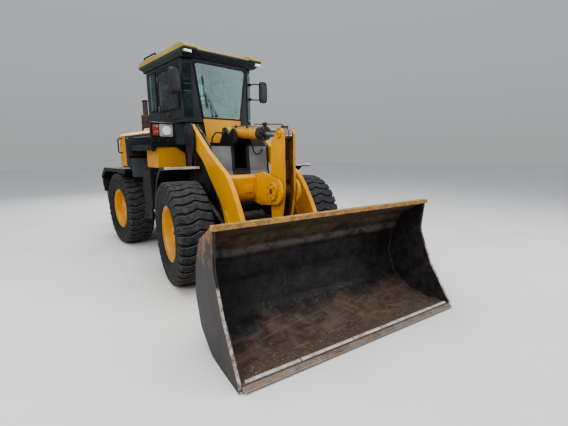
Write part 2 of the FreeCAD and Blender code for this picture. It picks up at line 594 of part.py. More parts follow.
# -------------------------------------------------------- lamps, mirrors, bars
lamps = []
for s in (1, -1):
    lamps.append(fuse("head_lamp", [box("head_lamp", *sx(s, 650, 1018), -40, 22, 1881, 2128)]))
    lamps.append(box("tail_lamp", *sx(s, 700, 860), 2940, 3010, 1251, 1330))
node("lamps", apart("lamps", lamps))
mirrors = []
for s in (1, -1):
    mirrors.append(fuse("mirror", [box("mirror", *sx(s, 722, 886), -520, -470, 2495, 2850),
                                   rod("mirror_arm", (s * 646, -342, 2800), (s * 780, -495, 2800), 11),
                                   rod("mirror_arm", (s * 646, -342, 2560), (s * 780, -495, 2560), 11)]))
node("mirrors", apart("mirrors", mirrors))
bars = []
for s in (1, -1):
    bars.append(tube("hood_grip", [(s * 611, 2620, 1680), (s * 690, 2620, 1680), (s * 690, 2620, 1980), (s * 611, 2620, 1980)], 13, 40))
    bars.append(tube("roof_rail", [(s * 640, 480, 3201), (s * 640, 480, 3262), (s * 640, 960, 3262), (s * 640, 960, 3201)], 13, 40))
node("hand_rails", apart("hand_rails", bars))

# ---------------------------------------------------------------- front frame
TI, TP = dim("tower_inner"), dim("tower_plate")
AF, GB = BOOM_FOOT, TILT_BASE
tower = [(-330, 500), (-1700, 500, 60), (-1760, 760, 80), (-1520, 940, 60), (-1240, 1400, 60), (-1210, 1750, 60),
         (-1000, 1900, 80), (AF[0] - 130, AF[1] + 60, 60), (AF[0] - 60, AF[1] + 118, 90), (AF[0] + 100, AF[1] + 100, 90),
         (AF[0] + 112, AF[1] - 60, 60), (-525, 1500, 60), (-430, 1100, 60), (-330, 1050)]
front_lug = [(-200, -320), (-130, -60, 60), (-110, 40, 60), (-70, 110, 60), (70, 110, 60), (110, 40, 60), (130, -60, 60),
             (200, -320), (TI + 5, -330), (TI + 5, -480), (-TI - 5, -480), (-TI - 5, -330)][::-1]
fr = []
fr += both("tower", "yz", tower, TI, TP, bind="dims.tower_plate")
HR = PIN_R + CLEAR
for z0 in (930, 510):
    fr.append(pad("front_lug", "xy", front_lug, z0, 55, [(0, 0, HR)]))
fr.append(box("front_bulkhead", -TI - 5, TI + 5, -460, -430, 500, 1060))
fr.append(box("front_nose", -TI - 5, TI + 5, -1690, -1660, 520, 760))
fr.append(pad("tower_front", "yz", [(-1520, 945), (-1245, 1400), (-1215, 1745), (-1190, 1740), (-1218, 1395),
                                    (-1495, 935)], -TI - 5, 2 * (TI + 5)))
fr.append(box("tower_back", -TI - 5, TI + 5, -625, -597, 1060, 1760))
fr.append(box("tower_deck", -TI - 5, TI + 5, -1240, -530, 1400, 1425))
# Cheeks that carry the tilt cylinder's rear pin.
cheek = [(-1214, 1420), (-1214, 1745, 20), (-1352, 1792, 50), (-1300, 1992, 34), (-1236, 1975, 40), (-1130, 1888, 90),
         (GB[0] - 50, GB[1] + 66, 50), (GB[0] + 50, GB[1] + 62, 50), (GB[0] + 84, GB[1] - 50, 60), (-760, 1790, 80), (-560, 1760), (-560, 1420)]
fr += both("tilt_cheek", "yz", cheek, 100, 30)
# Outer tower plates: each boom foot sits between two plates.
outer = [(-668, 1340, 30), (-790, 1340, 40), (-815, 1500, 120), (-955, 1764, 120), (-925, 2010, 60), (-880, 2070, 50),
         (-575, 2070, 60), (-550, 1900, 80), (-625, 1600, 200)]
fr += both("tower_outer", "yz", outer, 566, 18)
for s in (1, -1):
    fr.append(box("outer_tie", *sx(s, TI + 5, 570), -730, -690, 1385, 1425))
# Pins fixed in the tower: boom feet, lift barrels.
fr += xpin2("foot_pin", AF[0], AF[1], TI + 5, 570, 38)
fr += xpin2("foot_cap", AF[0], AF[1], 541, 568, 58)
fr += xpin2("lift_base_pin", LIFT_BASE[0], LIFT_BASE[1], TI + 5, 566, 30)
fr += xpin2("lift_base_cap", LIFT_BASE[0], LIFT_BASE[1], 556, 570, 46)
for s in (1, -1):
    x = s * STEER_FRONT[0]
    fr.append(box("steer_ear", x - 40, x + 40, -435, -330, STEER_Z - 80, STEER_Z - 45))
    fr.append(box("steer_ear", x - 40, x + 40, -435, -330, STEER_Z + 45, STEER_Z + 80))
    fr.append(rod("steer_front_cap", (x, -365, STEER_Z - 94), (x, -365, STEER_Z - 80), 30))
    fr.append(rod("steer_front_cap", (x, -365, STEER_Z + 80), (x, -365, STEER_Z + 94), 30))
fr.append(rod("tie_lug", (-TI - 40, -1640, 560), (TI + 40, -1640, 560), 18))
node("front_frame", cut("front_frame", fuse("front_frame_solid", fr), [
    box2("steer_mouth", 180, 332, -470, -425, STEER_Z - 42, STEER_Z + 42),
    xpin("front_axle_gap", -REACH, HUB, -500, 500, 128),
    xpin("tilt_pin_bore", GB[0], GB[1], 90, 140, 35 + CLEAR), xpin("tilt_pin_bore", GB[0], GB[1], -140, -90, 35 + CLEAR),
    pad("tilt_room", "yz", [(GB[0] - 400, 1430), (GB[0] - 400, 2300), (GB[0] + 130, 2300), (GB[0] + 130, 1900),
                            (GB[0] - 60, 1430)], -94, 188)]), True)

# Hydraulic hoses held by the tower: one over its top, one hanging in front.
hoses = [tube("hose_top", [(-183, -611, 1761), (-183, -611, 1880), (-130, -640, 1962), (-40, -640, 1962), (30, -611, 1860),
                           (30, -611, 1761)], 11, 40),
         tube("hose_front", [(131, -1110, 1782), (172, -1110, 1782), (180, -1246, 1778), (200, -1252, 1670), (236, -1252, 1630), (300, -1252, 1640),
                             (345, -1252, 1698), (350, -1225, 1704)], 9, 26)]
node("hoses", apart("hoses", hoses), True)

# ----------------------------------------------------------------------- boom
AC, AP = dim("arm_centre"), dim("arm_plate")
arm = [(AF[0] + 60, AF[1] + 105, 90), (AF[0] - 60, AF[1] + 115, 80), (-1375, 1662, 200), (-1760, 1475, 100), (-1950, 1390, 90),
       (-2110, 1220, 60), (-2240, 1040, 60), (-2330, 895, 120), (-2620, 520, 80), (BUCKET_PIN[0] - 62, BUCKET_PIN[1] + 78, 60),
       (BUCKET_PIN[0] - 90, BUCKET_PIN[1] - 40, 60), (BUCKET_PIN[0] + 20, BUCKET_PIN[1] - 98, 60),
       (-2480, 330, 120), (-2200, 560, 160), (-1925, 822, 120), (-1726, 1071, 120), (-1441, 1303, 120), (-1169, 1540, 200),
       (AF[0] + 20, AF[1] - 112, 80), (AF[0] + 112, AF[1] - 30, 80)]
FOOT_R, BP_R, BV_R, LE_R = 38.0, 35.0, 35.0, 30.0
bm = []
x0 = AC - AP / 2
bm += both("arm", "yz", arm, x0, AP, bind="dims.arm_plate")
bm += xpin2("arm_foot", AF[0], AF[1], x0 - 12, x0 + AP + 4, 98)
bm += xpin2("arm_nose", BUCKET_PIN[0], BUCKET_PIN[1], x0 - 10, x0 + AP + 10, 92)
# Torque tube between the arms.
torque = [(-1950, 1100, 90), (-1950, 1372, 40), (-1800, 1382, 60), (-1615, 1290, 80), (-1615, 1110, 90), (-1790, 1036, 120)]
bm.append(pad("torque_tube", "yz", torque, -x0 - 3, 2 * x0 + 6))
BV = BELL_PIVOT
ear = [(-1790, 1372), (-1914, 1392, 30), (-2098, 1421, 60), (-2330, 1370, 120), (BV[0] - 150, BV[1] + 120, 110),
       (BV[0] - 190, BV[1] - 60, 120), (BV[0] - 90, BV[1] - 150, 90), (-2081, 1018, 100), (-1900, 1040), (-1790, 1100)]
bm += both("bell_ear", "yz", ear, 100, 32)
# Cheeks under each arm that hold the lift cylinder's eye.
LE = LIFT_EYE
eye_cheek = [(-2180, 700), (-2060, 760, 30), (-1930, 960, 40), (-1860, 960, 40), (LE[0] + 50, LE[1] + 52, 50), (LE[0] + 66, LE[1] - 40, 56),
             (LE[0], LE[1] - 84, 50), (LE[0] - 80, LE[1] - 60, 60), (-2150, 560, 40), (-2230, 600)]
for xc in (AC - AP / 2 - 20, AC + AP / 2):
    bm += both("eye_cheek", "yz", eye_cheek, xc, 20)
for xa in (AC - AP / 2 - 30, AC + AP / 2 + 18):
    bm += xpin2("lift_eye_cap", LE[0], LE[1], xa, xa + 12, 46)
boom_solid = fuse("boom_solid", bm)
node("boom", cut("boom", boom_solid, [
    xpin2("foot_bore", AF[0], AF[1], 440, 545, FOOT_R + CLEAR),
    xpin2("nose_bore", BUCKET_PIN[0], BUCKET_PIN[1], 440, 560, BP_R + CLEAR),
    xpin2("bell_bore", BV[0], BV[1], 90, 140, BV_R + CLEAR),
    pad("torque_room", "yz", [(-1925, 1115, 80), (-1925, 1345, 30), (-1800, 1357, 50), (-1640, 1277, 70),
                              (-1640, 1122, 80), (-1790, 1062, 110)], -440, 880)]), True)

# --------------------------------------------------------------------- bucket
BW, BS = dim("bucket_width"), dim("bucket_side")
# Outer outline of the shell in (y, z), lip first, and the same 20 mm inside.
shell = [(-3368, 1122), (-3250, 1060, 30), (-3040, 948, 60), (-2925, 700, 160), (-2880, 430, 200), (-2985, 160, 180), (-3230, 12, 120),
         (-3420, 0, 20), (-3760, 0), (-3760, 20), (-3426, 24, 20), (-3240, 34, 110), (-3004, 175, 165), (-2902, 432, 185),
         (-2945, 694, 150), (-3055, 932, 55), (-3258, 1042, 30), (-3368, 1100)]
side_plate = [(-3368, 1122), (-3250, 1060), (-3040, 948, 60), (-2925, 700, 160), (-2880, 430, 200), (-2985, 160, 180),
              (-3230, 12, 120), (-3420, 0, 20), (-3740, 0), (-3740, 60), (-3491, 425, 200), (-3335, 780, 200)]
bk = [pad("bucket_shell", "yz", shell, -BW / 2, BW, bind="dims.bucket_width")]
bk += both("bucket_side", "yz", side_plate, BW / 2 - BS, BS)
bk.append(box("lip_bar", -BW / 2, BW / 2, -3392, -3330, 1085, 1122))
BP, LB = BUCKET_PIN, LINK_BUCKET
hinge = [(-2960, 640), (-2880, 620, 40), (-2760, 440, 60), (BP[0] + 60, BP[1] + 60, 70), (BP[0] + 88, BP[1] - 30, 60),
         (BP[0], BP[1] - 92, 60), (-2860, 150, 60), (-3020, 110)]
for xa, xb in ((435, 460), (550, 575)):
    bk += both("hinge_plate", "yz", hinge, xa, xb - xa)
lug_plate = [(-2990, 760), (-2900, 760, 40), (LB[0] + 40, LB[1] + 62, 60), (LB[0] + 72, LB[1] - 30, 60), (LB[0] - 10, LB[1] - 74, 60),
             (-2900, 330), (-2960, 330)]
bk += both("link_lug", "yz", lug_plate, 52, 30)
bk += xpin2("link_bucket_cap", LB[0], LB[1], 80, 94, 44)
bucket_solid = fuse("bucket_solid", bk)
inside = [(-4000, 30), (-3426, 24, 20), (-3240, 34, 110), (-3004, 175, 165), (-2902, 432, 185),
          (-2945, 694, 150), (-3055, 932, 55), (-3258, 1042, 30), (-3500, 1160)]
node("bucket", cut("bucket", bucket_solid, [
    xpin2("hinge_bore", BP[0], BP[1], 420, 590, BP_R + CLEAR),
    pad("bucket_room", "yz", [(-3330, 1085), (-3330, 900), (-3400, 200), (-3426, 24.5), (-3240, 34.5, 110), (-3004, 175, 165),
                              (-2902, 432, 185), (-2945, 694, 150), (-3055, 932, 55), (-3258, 1042, 30)],
        -BW / 2 + BS, BW - 2 * BS)]), True)
EDGE = dim("edge_width")
edge = [(-3768, 0.0), (-3690, -0.0), (-3560, -0.0), (-3560, -0.0)]
edge_plate = pad("edge_plate", "yz", [(-3790, 20.5), (-3560, 24.5), (-3560, 44.5), (-3740, 40.5)], -EDGE / 2, EDGE)
holes = []
for i in range(9):
    x = -1080 + 270 * i
    holes.append(rod("edge_hole", (x, -3620, -40), (x, -3620, 90), 12.5))
node("bucket_edge", cut("bucket_edge", edge_plate, holes), True)
pins = []
for s in (1, -1):
    pins.append(fuse("bucket_pin_%s" % ("left" if s > 0 else "right"), [
        xpin("bucket_pin", BP[0], BP[1], *sx(s, 432, 578), BP_R), xpin("pin_flange", BP[0], BP[1], *sx(s, 413, 433), 92),
        xpin("pin_flange", BP[0], BP[1], *sx(s, 577, 597), 92)]))
node("bucket_pins", apart("bucket_pins", pins), True)

# ------------------------------------------------------------------ bellcrank
BT, BL = BELL_TOP, BELL_LOW
bell = [(BT[0] - 72, BT[1] + 20, 60), (BT[0] - 10, BT[1] + 76, 60), (BT[0] + 70, BT[1] + 30, 60), (-2236, 1760, 120), (-2222, 1330, 200),
        (-2215, 1100, 200), (BL[0] + 92, 700, 200), (BL[0] + 80, BL[1] - 20, 70), (BL[0], BL[1] - 84, 60), (BL[0] - 82, BL[1] - 10, 70),
        (-2445, 900, 200), (-2512, 1215, 200), (-2500, 1600, 200)]
bc = both("bell_plate", "yz", bell, 52, 32)
bc += [xpin("bell_hub", BV[0], BV[1], -94, 94, 78), box("bell_web", -54, 54, -2400, -2330, 1330, 1560)]
bc += xpin2("bell_top_cap", BT[0], BT[1], 82, 98, 46)
node("bellcrank", cut("bellcrank", fuse("bell_solid", bc), [
    xpin("bell_bore", BV[0], BV[1], -120, 120, BV_R + CLEAR),
    xpin("bell_low_bore", BL[0], BL[1], -120, 120, 32 + CLEAR)]), True)
node("bellcrank_pin", fuse("bellcrank_pin_solid", [xpin("bellcrank_pin", BV[0], BV[1], -150, 150, BV_R)] +
                           xpin2("pin_flange", BV[0], BV[1], 134, 164, 104)), True)
node("link_pin", fuse("link_pin_solid", [xpin("link_pin", BL[0], BL[1], -100, 100, 32)] +
                      xpin2("pin_flange", BL[0], BL[1], 86, 108, 55)), True)
u = along(BL, LB, 0)
link_len = dist(BL, LB)
p1 = along(BL, LB, 0, 58)
link_out = [along(BL, LB, -62, -40) + (50,), along(BL, LB, 60, -58) + (40,), along(BL, LB, link_len - 60, -46) + (40,),
            along(BL, LB, link_len + 42, -34) + (34,), along(BL, LB, link_len + 42, 34) + (34,),
            along(BL, LB, link_len - 60, 46) + (40,), along(BL, LB, 60, 58) + (40,), along(BL, LB, -62, 40) + (50,)]
node("tilt_link", pad("tilt_link", "yz", link_out, -45, 90, [(BL[0], BL[1], 32 + CLEAR)]), True)

# -------------------------------------------------------------- tilt cylinder
def at(p, q, d, x=0.0):
    a = along(p, q, d)
    return (x, a[0], a[1])


L_TILT = dist(GB, BT)
tb = [rod("tilt_tube", at(GB, BT, 70), at(GB, BT, 960), 78), xpin("tilt_eye", GB[0], GB[1], -90, 90, 72),
      rod("tilt_head", at(GB, BT, 900), at(GB, BT, 1000), 90)]
node("tilt_barrel", cut("tilt_barrel", fuse("tilt_barrel_solid", tb), [
    rod("tilt_bore", at(GB, BT, 260), at(GB, BT, 1020), 40 + 0.1), rod("tilt_room", at(GB, BT, 300), at(GB, BT, 960), 62),
    xpin("tilt_eye_bore", GB[0], GB[1], -120, 120, 35 + CLEAR)]), True)
node("tilt_pin", xpin("tilt_pin", GB[0], GB[1], -140, 140, 35), True)
tr = [rod("tilt_rod", at(GB, BT, 700), at(GB, BT, L_TILT - 20), 40), rod("tilt_piston", at(GB, BT, 640), at(GB, BT, 720), 61.9),
      xpin("tilt_rod_eye", BT[0], BT[1], -45, 45, 66)]
node("tilt_rod", fuse("tilt_rod_solid", tr), True)

# -------------------------------------------------------------- lift cylinders
LBs, LL = LIFT_BASE, dist(LIFT_BASE, LIFT_EYE)
lb, lr = [], []
XL = 509.0
for s in (1, -1):
    x = s * XL
    body = fuse("lift_barrel_solid", [rod("lift_tube", at(LBs, LE, 55, x), at(LBs, LE, 1190, x), 47),
                                      rod("lift_head", at(LBs, LE, 1135, x), at(LBs, LE, 1205, x), 49),
                                      xpin("lift_base_eye", LBs[0], LBs[1], x - 38, x + 38, 62)])
    lb.append(cut("lift_barrel", body, [rod("lift_bore", at(LBs, LE, 90, x), at(LBs, LE, 1230, x), 24.6),
                                        rod("lift_room", at(LBs, LE, 86, x), at(LBs, LE, 1188, x), 38),
                                        xpin("lift_base_bore", LBs[0], LBs[1], x - 60, x + 60, 30 + CLEAR)]))
    rbody = fuse("lift_rod_solid", [rod("lift_rod", at(LBs, LE, 115, x), at(LBs, LE, LL - 20, x), 24.5),
                                    rod("lift_piston", at(LBs, LE, 108, x), at(LBs, LE, 128, x), 37.9),
                                    xpin("lift_rod_eye", LE[0], LE[1], s * AC - 26, s * AC + 26, 58)])
    lr.append(rbody)
node("lift_barrels", apart("lift_barrels", lb), True)
node("lift_rods", apart("lift_rods", lr), True)

# ---------------------------------------------------------- steering cylinders
# Barrels pivot on the rear frame; the rods reach the front half's ears.
for side, sname in ((1, "left"), (-1, "right")):
    p = (side * STEER_REAR[0], STEER_REAR[1], STEER_Z)
    fx, fy = side * STEER_FRONT[0], -365.0
    q = (fx * math.cos(TURN) - fy * math.sin(TURN), fx * math.sin(TURN) + fy * math.cos(TURN), STEER_Z)
    L = math.dist(p, q)

    def on(d):
        return tuple(p[i] + (q[i] - p[i]) * d / L for i in range(3))
    barrel = fuse("steer_barrel_solid", [rod("steer_tube", on(40), on(520), 36),
                                         rod("steer_eye", (p[0], p[1], STEER_Z - 38), (p[0], p[1], STEER_Z + 38), 42)])
    node("steer_barrel_" + sname, cut("steer_barrel_" + sname, barrel, [
        rod("steer_bore", on(80), on(540), 20.1), rod("steer_room", on(86), on(494), 28),
        rod("steer_eye_bore", (p[0], p[1], STEER_Z - 60), (p[0], p[1], STEER_Z + 60), 22 + CLEAR)]))
    srod = fuse("steer_rod_solid", [rod("steer_rod", on(L - 560), on(L - 15), 20), rod("steer_piston", on(L - 568), on(L - 540), 27.9),
                                    rod("steer_rod_eye", (q[0], q[1], STEER_Z - 38), (q[0], q[1], STEER_Z + 38), 40)])
    node("steer_rod_" + sname, srod)

# ---------------------------------------------------------------------- output
doc.recompute()
faults = []
for o in doc.Objects:
    if "Invalid" in o.State or "Error" in o.State:
        faults.append("%s: %s" % (o.Name, o.State))
for label, o in NODES:
    shape = o.Shape
    if shape.isNull() or not shape.isValid():
        faults.append("%s: shape null or not valid" % label)
    elif not shape.Solids:
        faults.append("%s: no solid" % label)
if faults:
    raise RuntimeError("; ".join(faults))
os.makedirs("parts", exist_ok=True)
for old in os.listdir("parts"):
    if old.endswith(".step") and old[:-5] not in [n for n, _ in NODES]:
        os.remove(os.path.join("parts", old))
for label, o in NODES:
    print(label, len(o.Shape.Solids), round(o.Shape.Volume / 1e9, 5))
    o.Shape.exportStep(os.path.join("parts", label + ".step"))
print(len(NODES), "sub-parts")
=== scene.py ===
import math
import random

import bmesh
import bpy
from mathutils import Matrix, Vector, noise as mnoise


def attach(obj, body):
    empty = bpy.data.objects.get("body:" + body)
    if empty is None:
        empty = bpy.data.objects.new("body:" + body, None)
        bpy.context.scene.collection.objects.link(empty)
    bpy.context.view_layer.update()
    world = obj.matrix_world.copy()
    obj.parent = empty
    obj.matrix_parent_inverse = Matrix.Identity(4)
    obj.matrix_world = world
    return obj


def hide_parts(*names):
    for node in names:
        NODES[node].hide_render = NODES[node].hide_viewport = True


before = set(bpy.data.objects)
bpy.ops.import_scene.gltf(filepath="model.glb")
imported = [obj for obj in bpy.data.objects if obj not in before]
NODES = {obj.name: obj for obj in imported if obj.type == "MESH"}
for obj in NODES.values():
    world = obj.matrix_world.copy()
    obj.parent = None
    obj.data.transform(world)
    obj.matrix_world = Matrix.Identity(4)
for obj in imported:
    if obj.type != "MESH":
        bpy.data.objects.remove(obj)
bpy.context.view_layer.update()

scene = bpy.context.scene
scene.view_settings.look = "AgX - Medium High Contrast"

# ------------------------------------------------------------------ the frame
# Lengths below are millimetres about the vertical hinge of the machine: +X its left,
# -Y ahead. The front half is drawn straight and turned by TURN about that hinge.
OX, OY, TURN = 390.0, 346.0, math.radians(-10.4)
M_REAR = Matrix.Translation((OX / 1000, OY / 1000, 0)) @ Matrix.Diagonal((0.001, 0.001, 0.001, 1))
M_FRONT = Matrix.Translation((OX / 1000, OY / 1000, 0)) @ Matrix.Rotation(TURN, 4, "Z") @ Matrix.Diagonal((0.001, 0.001, 0.001, 1))


# ------------------------------------------------------------------ materials
class Tree:
    """Short names for building a node tree."""

    def __init__(self, name):
        self.m = bpy.data.materials.new(name)
        self.m.use_nodes = True
        self.t = self.m.node_tree
        self.t.nodes.clear()
        self.out = self.t.nodes.new("ShaderNodeOutputMaterial")
        self.p = self.t.nodes.new("ShaderNodeBsdfPrincipled")
        self.t.links.new(self.p.outputs[0], self.out.inputs[0])
        c = self.t.nodes.new("ShaderNodeTexCoord")
        self.co, self.no = c.outputs["Object"], c.outputs["Normal"]

    def link(self, a, b):
        self.t.links.new(a, b)

    def put(self, socket, v):
        if isinstance(v, bpy.types.NodeSocket):
            self.t.links.new(v, socket)
        elif isinstance(v, (tuple, list)) and len(v) == 3 and socket.type == "RGBA":
            socket.default_value = (*v, 1)
        else:
            socket.default_value = v

    def scaled(self, sx, sy, sz, turn=0.0):
        n = self.t.nodes.new("ShaderNodeMapping")
        n.inputs["Scale"].default_value = (sx, sy, sz)
        n.inputs["Rotation"].default_value = (0, 0, turn)
        self.link(self.co, n.inputs["Vector"])
        return n.outputs[0]

    def noise(self, scale, detail=5.0, rough=0.55, vec=None, warp=0.0):
        n = self.t.nodes.new("ShaderNodeTexNoise")
        n.inputs["Scale"].default_value = scale
        n.inputs["Detail"].default_value = detail
        n.inputs["Roughness"].default_value = rough
        n.inputs["Distortion"].default_value = warp
        self.link(vec if vec is not None else self.co, n.inputs["Vector"])
        return n.outputs["Fac"]

    def voronoi(self, scale, vec=None, feature="F1"):
        n = self.t.nodes.new("ShaderNodeTexVoronoi")
        n.feature = feature
        n.inputs["Scale"].default_value = scale
        self.link(vec if vec is not None else self.co, n.inputs["Vector"])
        return n.outputs["Distance"]

    def ramp(self, fac, lo, hi, a=0.0, b=1.0):
        n = self.t.nodes.new("ShaderNodeMapRange")
        n.interpolation_type = "SMOOTHSTEP"
        self.put(n.inputs["Value"], fac)
        n.inputs["From Min"].default_value = lo
        n.inputs["From Max"].default_value = hi
        n.inputs["To Min"].default_value = a
        n.inputs["To Max"].default_value = b
        return n.outputs["Result"]

    def math(self, op, a, b=0.0, clamp=False):
        n = self.t.nodes.new("ShaderNodeMath")
        n.operation = op
        n.use_clamp = clamp
        self.put(n.inputs[0], a)
        self.put(n.inputs[1], b)
        return n.outputs[0]

    def mul(self, *v):
        r = v[0]
        for k in v[1:]:
            r = self.math("MULTIPLY", r, k)
        return r

    def most(self, a, b):
        return self.math("MAXIMUM", a, b)

    def mix(self, fac, a, b, blend="MIX"):
        n = self.t.nodes.new("ShaderNodeMix")
        n.data_type = "RGBA"
        n.blend_type = blend
        self.put(n.inputs[0], fac)
        self.put(n.inputs[6], a)
        self.put(n.inputs[7], b)
        return n.outputs[2]

    def axis(self, direction, vec=None):
        """The dot product of a direction with the place (about the hinge) or with another vector, in metres."""
        n = self.t.nodes.new("ShaderNodeVectorMath")
        n.operation = "DOT_PRODUCT"
        n.inputs[1].default_value = direction
        if vec is None:
            s = self.t.nodes.new("ShaderNodeVectorMath")
            s.operation = "SUBTRACT"
            s.inputs[1].default_value = (OX / 1000, OY / 1000, 0)
            self.link(self.co, s.inputs[0])
            vec = s.outputs[0]
        self.link(vec, n.inputs[0])
        return n.outputs["Value"]

    def bump(self, height, strength=0.3, distance=0.002, after=None):
        n = self.t.nodes.new("ShaderNodeBump")
        n.inputs["Strength"].default_value = strength
        n.inputs["Distance"].default_value = distance
        self.link(height, n.inputs["Height"])
        if after is not None:
            self.link(after, n.inputs["Normal"])
        return n.outputs[0]

    def edges(self, radius=0.006):
        """1 along convex and concave edges, 0 on open faces."""
        b = self.t.nodes.new("ShaderNodeBevel")
        b.samples = 4
        b.inputs["Radius"].default_value = radius
        g = self.t.nodes.new("ShaderNodeNewGeometry")
        d = self.t.nodes.new("ShaderNodeVectorMath")
        d.operation = "DOT_PRODUCT"
        self.link(b.outputs[0], d.inputs[0])
        self.link(g.outputs["Normal"], d.inputs[1])
        return self.ramp(d.outputs["Value"], 0.995, 0.93)

    def end(self, color, rough, normal=None, metal=None):
        self.put(self.p.inputs["Base Color"], color)
        self.put(self.p.inputs["Roughness"], rough)
        if normal is not None:
            self.link(normal, self.p.inputs["Normal"])
        if metal is not None:
            self.put(self.p.inputs["Metallic"], metal)
        return self.m


# Pin centres of the straight front half (y, z).
BOOM_FOOT, BUCKET_PIN, BELL_PIVOT = (-640.0, 1960.0), (-2745.0, 295.0), (-2364.0, 1215.0)
BELL_TOP, BELL_LOW, LINK_BUCKET = (-2430.0, 1850.0), (-2350.0, 410.0), (-2780.0, 515.0)
TILT_BASE, LIFT_BASE, LIFT_EYE = (-960.0, 1950.0), (-780.0, 1150.0), (-2010.0, 640.0)

XF = (math.cos(TURN), math.sin(TURN), 0)
YF = (-math.sin(TURN), math.cos(TURN), 0)
RUST = (0.155, 0.062, 0.026)
MUD = (0.165, 0.118, 0.078)
DUST = (0.34, 0.30, 0.245)
YELLOW = (0.72, 0.350, 0.012)
DARK = (0.014, 0.016, 0.020)


def paint(name, base, dirt=0.5, wear=0.5, dust=0.35, rough=0.38, low=0.6, coat=0.25, edge=True, chip=(0.10, 0.075, 0.06),
          split=None, grain=0.0, spec=0.45):
    """Painted plate: uneven colour, grime in runs, dust on top faces, chipped and rusty edges."""
    t = Tree(name)
    if split:
        base = split(t)
    broad = t.noise(1.7, 4)
    col = t.mix(t.ramp(broad, 0.3, 0.72), base, t.mix(1.0, base, (0.80, 0.76, 0.72), "MULTIPLY"))
    blot = t.noise(11, 9, 0.65, warp=0.6)
    runs = t.noise(1.0, 6, 0.6, vec=t.scaled(26, 26, 1.6))
    z = t.axis((0, 0, 1))
    lowness = t.ramp(z, 1.9, 0.25, 0.25, 1.0)
    grime = t.mul(t.most(t.ramp(blot, 0.50, 0.74), t.mul(t.ramp(runs, 0.52, 0.72), 0.75)), lowness, dirt)
    col = t.mix(grime, col, MUD)
    up = t.ramp(t.axis((0, 0, 1), t.no), 0.55, 0.95)
    film = t.mul(up, t.ramp(t.noise(5.5, 8, 0.7), 0.34, 0.66), dust)
    col = t.mix(film, col, DUST)
    speck = t.noise(95, 4, 0.7)
    chips = t.mul(t.ramp(t.noise(23, 6, 0.7), 0.63 - 0.05 * wear, 0.66), t.ramp(speck, 0.42, 0.52), wear)
    if edge:
        rim = t.edges(0.007)
        edgy = t.mul(rim, t.ramp(t.noise(31, 5, 0.7), 0.52 - 0.16 * wear, 0.62 - 0.10 * wear), min(1.0, wear * 1.5))
        chips = t.most(chips, edgy)
    core = t.mix(t.ramp(t.noise(60, 3), 0.4, 0.6), chip, RUST)
    col = t.mix(chips, col, core)
    r = t.math("ADD", t.math("ADD", t.mul(t.ramp(t.noise(7, 6), 0.3, 0.7), 0.16), rough - 0.06), t.mul(t.most(grime, t.most(film, chips)), 0.36), clamp=True)
    height = t.math("SUBTRACT", t.math("ADD", t.mul(t.noise(3.2, 3), 3.0), t.mul(t.noise(420, 2), 0.05 + grain)), t.mul(chips, 0.22))
    m = t.end(col, r, t.bump(height, 0.35, 0.0016))
    t.p.inputs["Coat Weight"].default_value = coat
    t.p.inputs["Coat Roughness"].default_value = 0.22
    t.p.inputs["Specular IOR Level"].default_value = spec
    return m


def near(t, value, lo, hi, soft=0.004):
    return t.mul(t.ramp(value, lo - soft, lo + soft), t.ramp(value, hi + soft, hi - soft))


def hood_split(t):
    z, y = t.axis((0, 0, 1)), t.axis((0, 1, 0))
    top = t.ramp(z, 2.012, 2.018)
    back = t.ramp(y, 2.40, 2.406)
    return t.mix(t.most(top, back), (0.016, 0.021, 0.025), YELLOW)


def roof_split(t):
    z = t.axis((0, 0, 1))
    # khaki on the top strip only; below it the sloping fascia is painted dark teal-grey, painted shade of the visor's
    # underside
    up = t.ramp(z, 3.128, 3.134)
    return t.mix(up, (0.020, 0.028, 0.031), (0.40, 0.30, 0.075))


def bell_split(t):
    x, n = t.axis(XF), t.axis(XF, t.no)
    # faces between the plates and the web deep between them are painted brown: rust, with painted shade of the gap
    # between the plates
    inner = t.ramp(t.mul(t.math("SIGN", x), n), -0.4, -0.8)
    deep = t.mul(t.ramp(t.math("ABSOLUTE", x), 0.05, 0.046), 0.8)
    brown = t.mix(t.ramp(t.noise(14, 7, 0.7), 0.35, 0.65), (0.10, 0.055, 0.032), (0.22, 0.12, 0.05))
    return t.mix(t.most(inner, deep), YELLOW, brown)


def boom_split(t):
    x, z = t.axis(XF), t.axis((0, 0, 1))
    # the lower part between the arms, cross tube and inner faces, blotched rust-brown: scuffs and rust, with painted
    # shade on the cross tube's underside
    tube = t.mul(t.ramp(t.math("ABSOLUTE", x), 0.47, 0.455), t.ramp(z, 1.12, 1.03), t.ramp(t.noise(13, 7, 0.7), 0.33, 0.6), 0.85)
    return t.mix(tube, YELLOW, (0.21, 0.088, 0.022))


def tower_split(t):
    x, y, z = t.axis(XF), t.axis(YF), t.axis((0, 0, 1))
    side = t.ramp(t.math("ABSOLUTE", x), 0.421, 0.428)
    low = t.ramp(z, 1.02, 0.98)
    # painted shade: between the cheeks, above z 1.30, the plate is made near-black where the shade falls
    core = t.mul(near(t, x, -0.14, 0.14, 0.002), t.ramp(z, 1.30, 1.34))
    grey = t.mix(t.ramp(t.noise(2.6, 5), 0.35, 0.65), (0.150, 0.162, 0.185), (0.215, 0.228, 0.255))
    shelf = t.mul(t.ramp(t.axis((0, 0, 1), t.no), 0.7, 0.95), t.ramp(t.noise(17, 6, 0.7), 0.35, 0.6))
    grey = t.mix(shelf, grey, (0.40, 0.385, 0.35))
    dark = t.most(t.most(side, low), core)
    return t.mix(dark, grey, (0.013, 0.016, 0.023))


def barrel_split(t):
    # distance along the cylinder from its rear eye
    y, z = t.axis(YF), t.axis((0, 0, 1))
    dy, dz = BELL_TOP[0] - TILT_BASE[0], BELL_TOP[1] - TILT_BASE[1]
    dl = math.hypot(dy, dz)
    start = (TILT_BASE[0] * dy + TILT_BASE[1] * dz) / dl / 1000
    d = t.math("ADD", t.mul(y, dy / dl), t.mul(z, dz / dl))
    gland = t.ramp(d, start + 0.893, start + 0.901)
    return t.mix(gland, (0.66, 0.35, 0.045), (0.020, 0.021, 0.024))


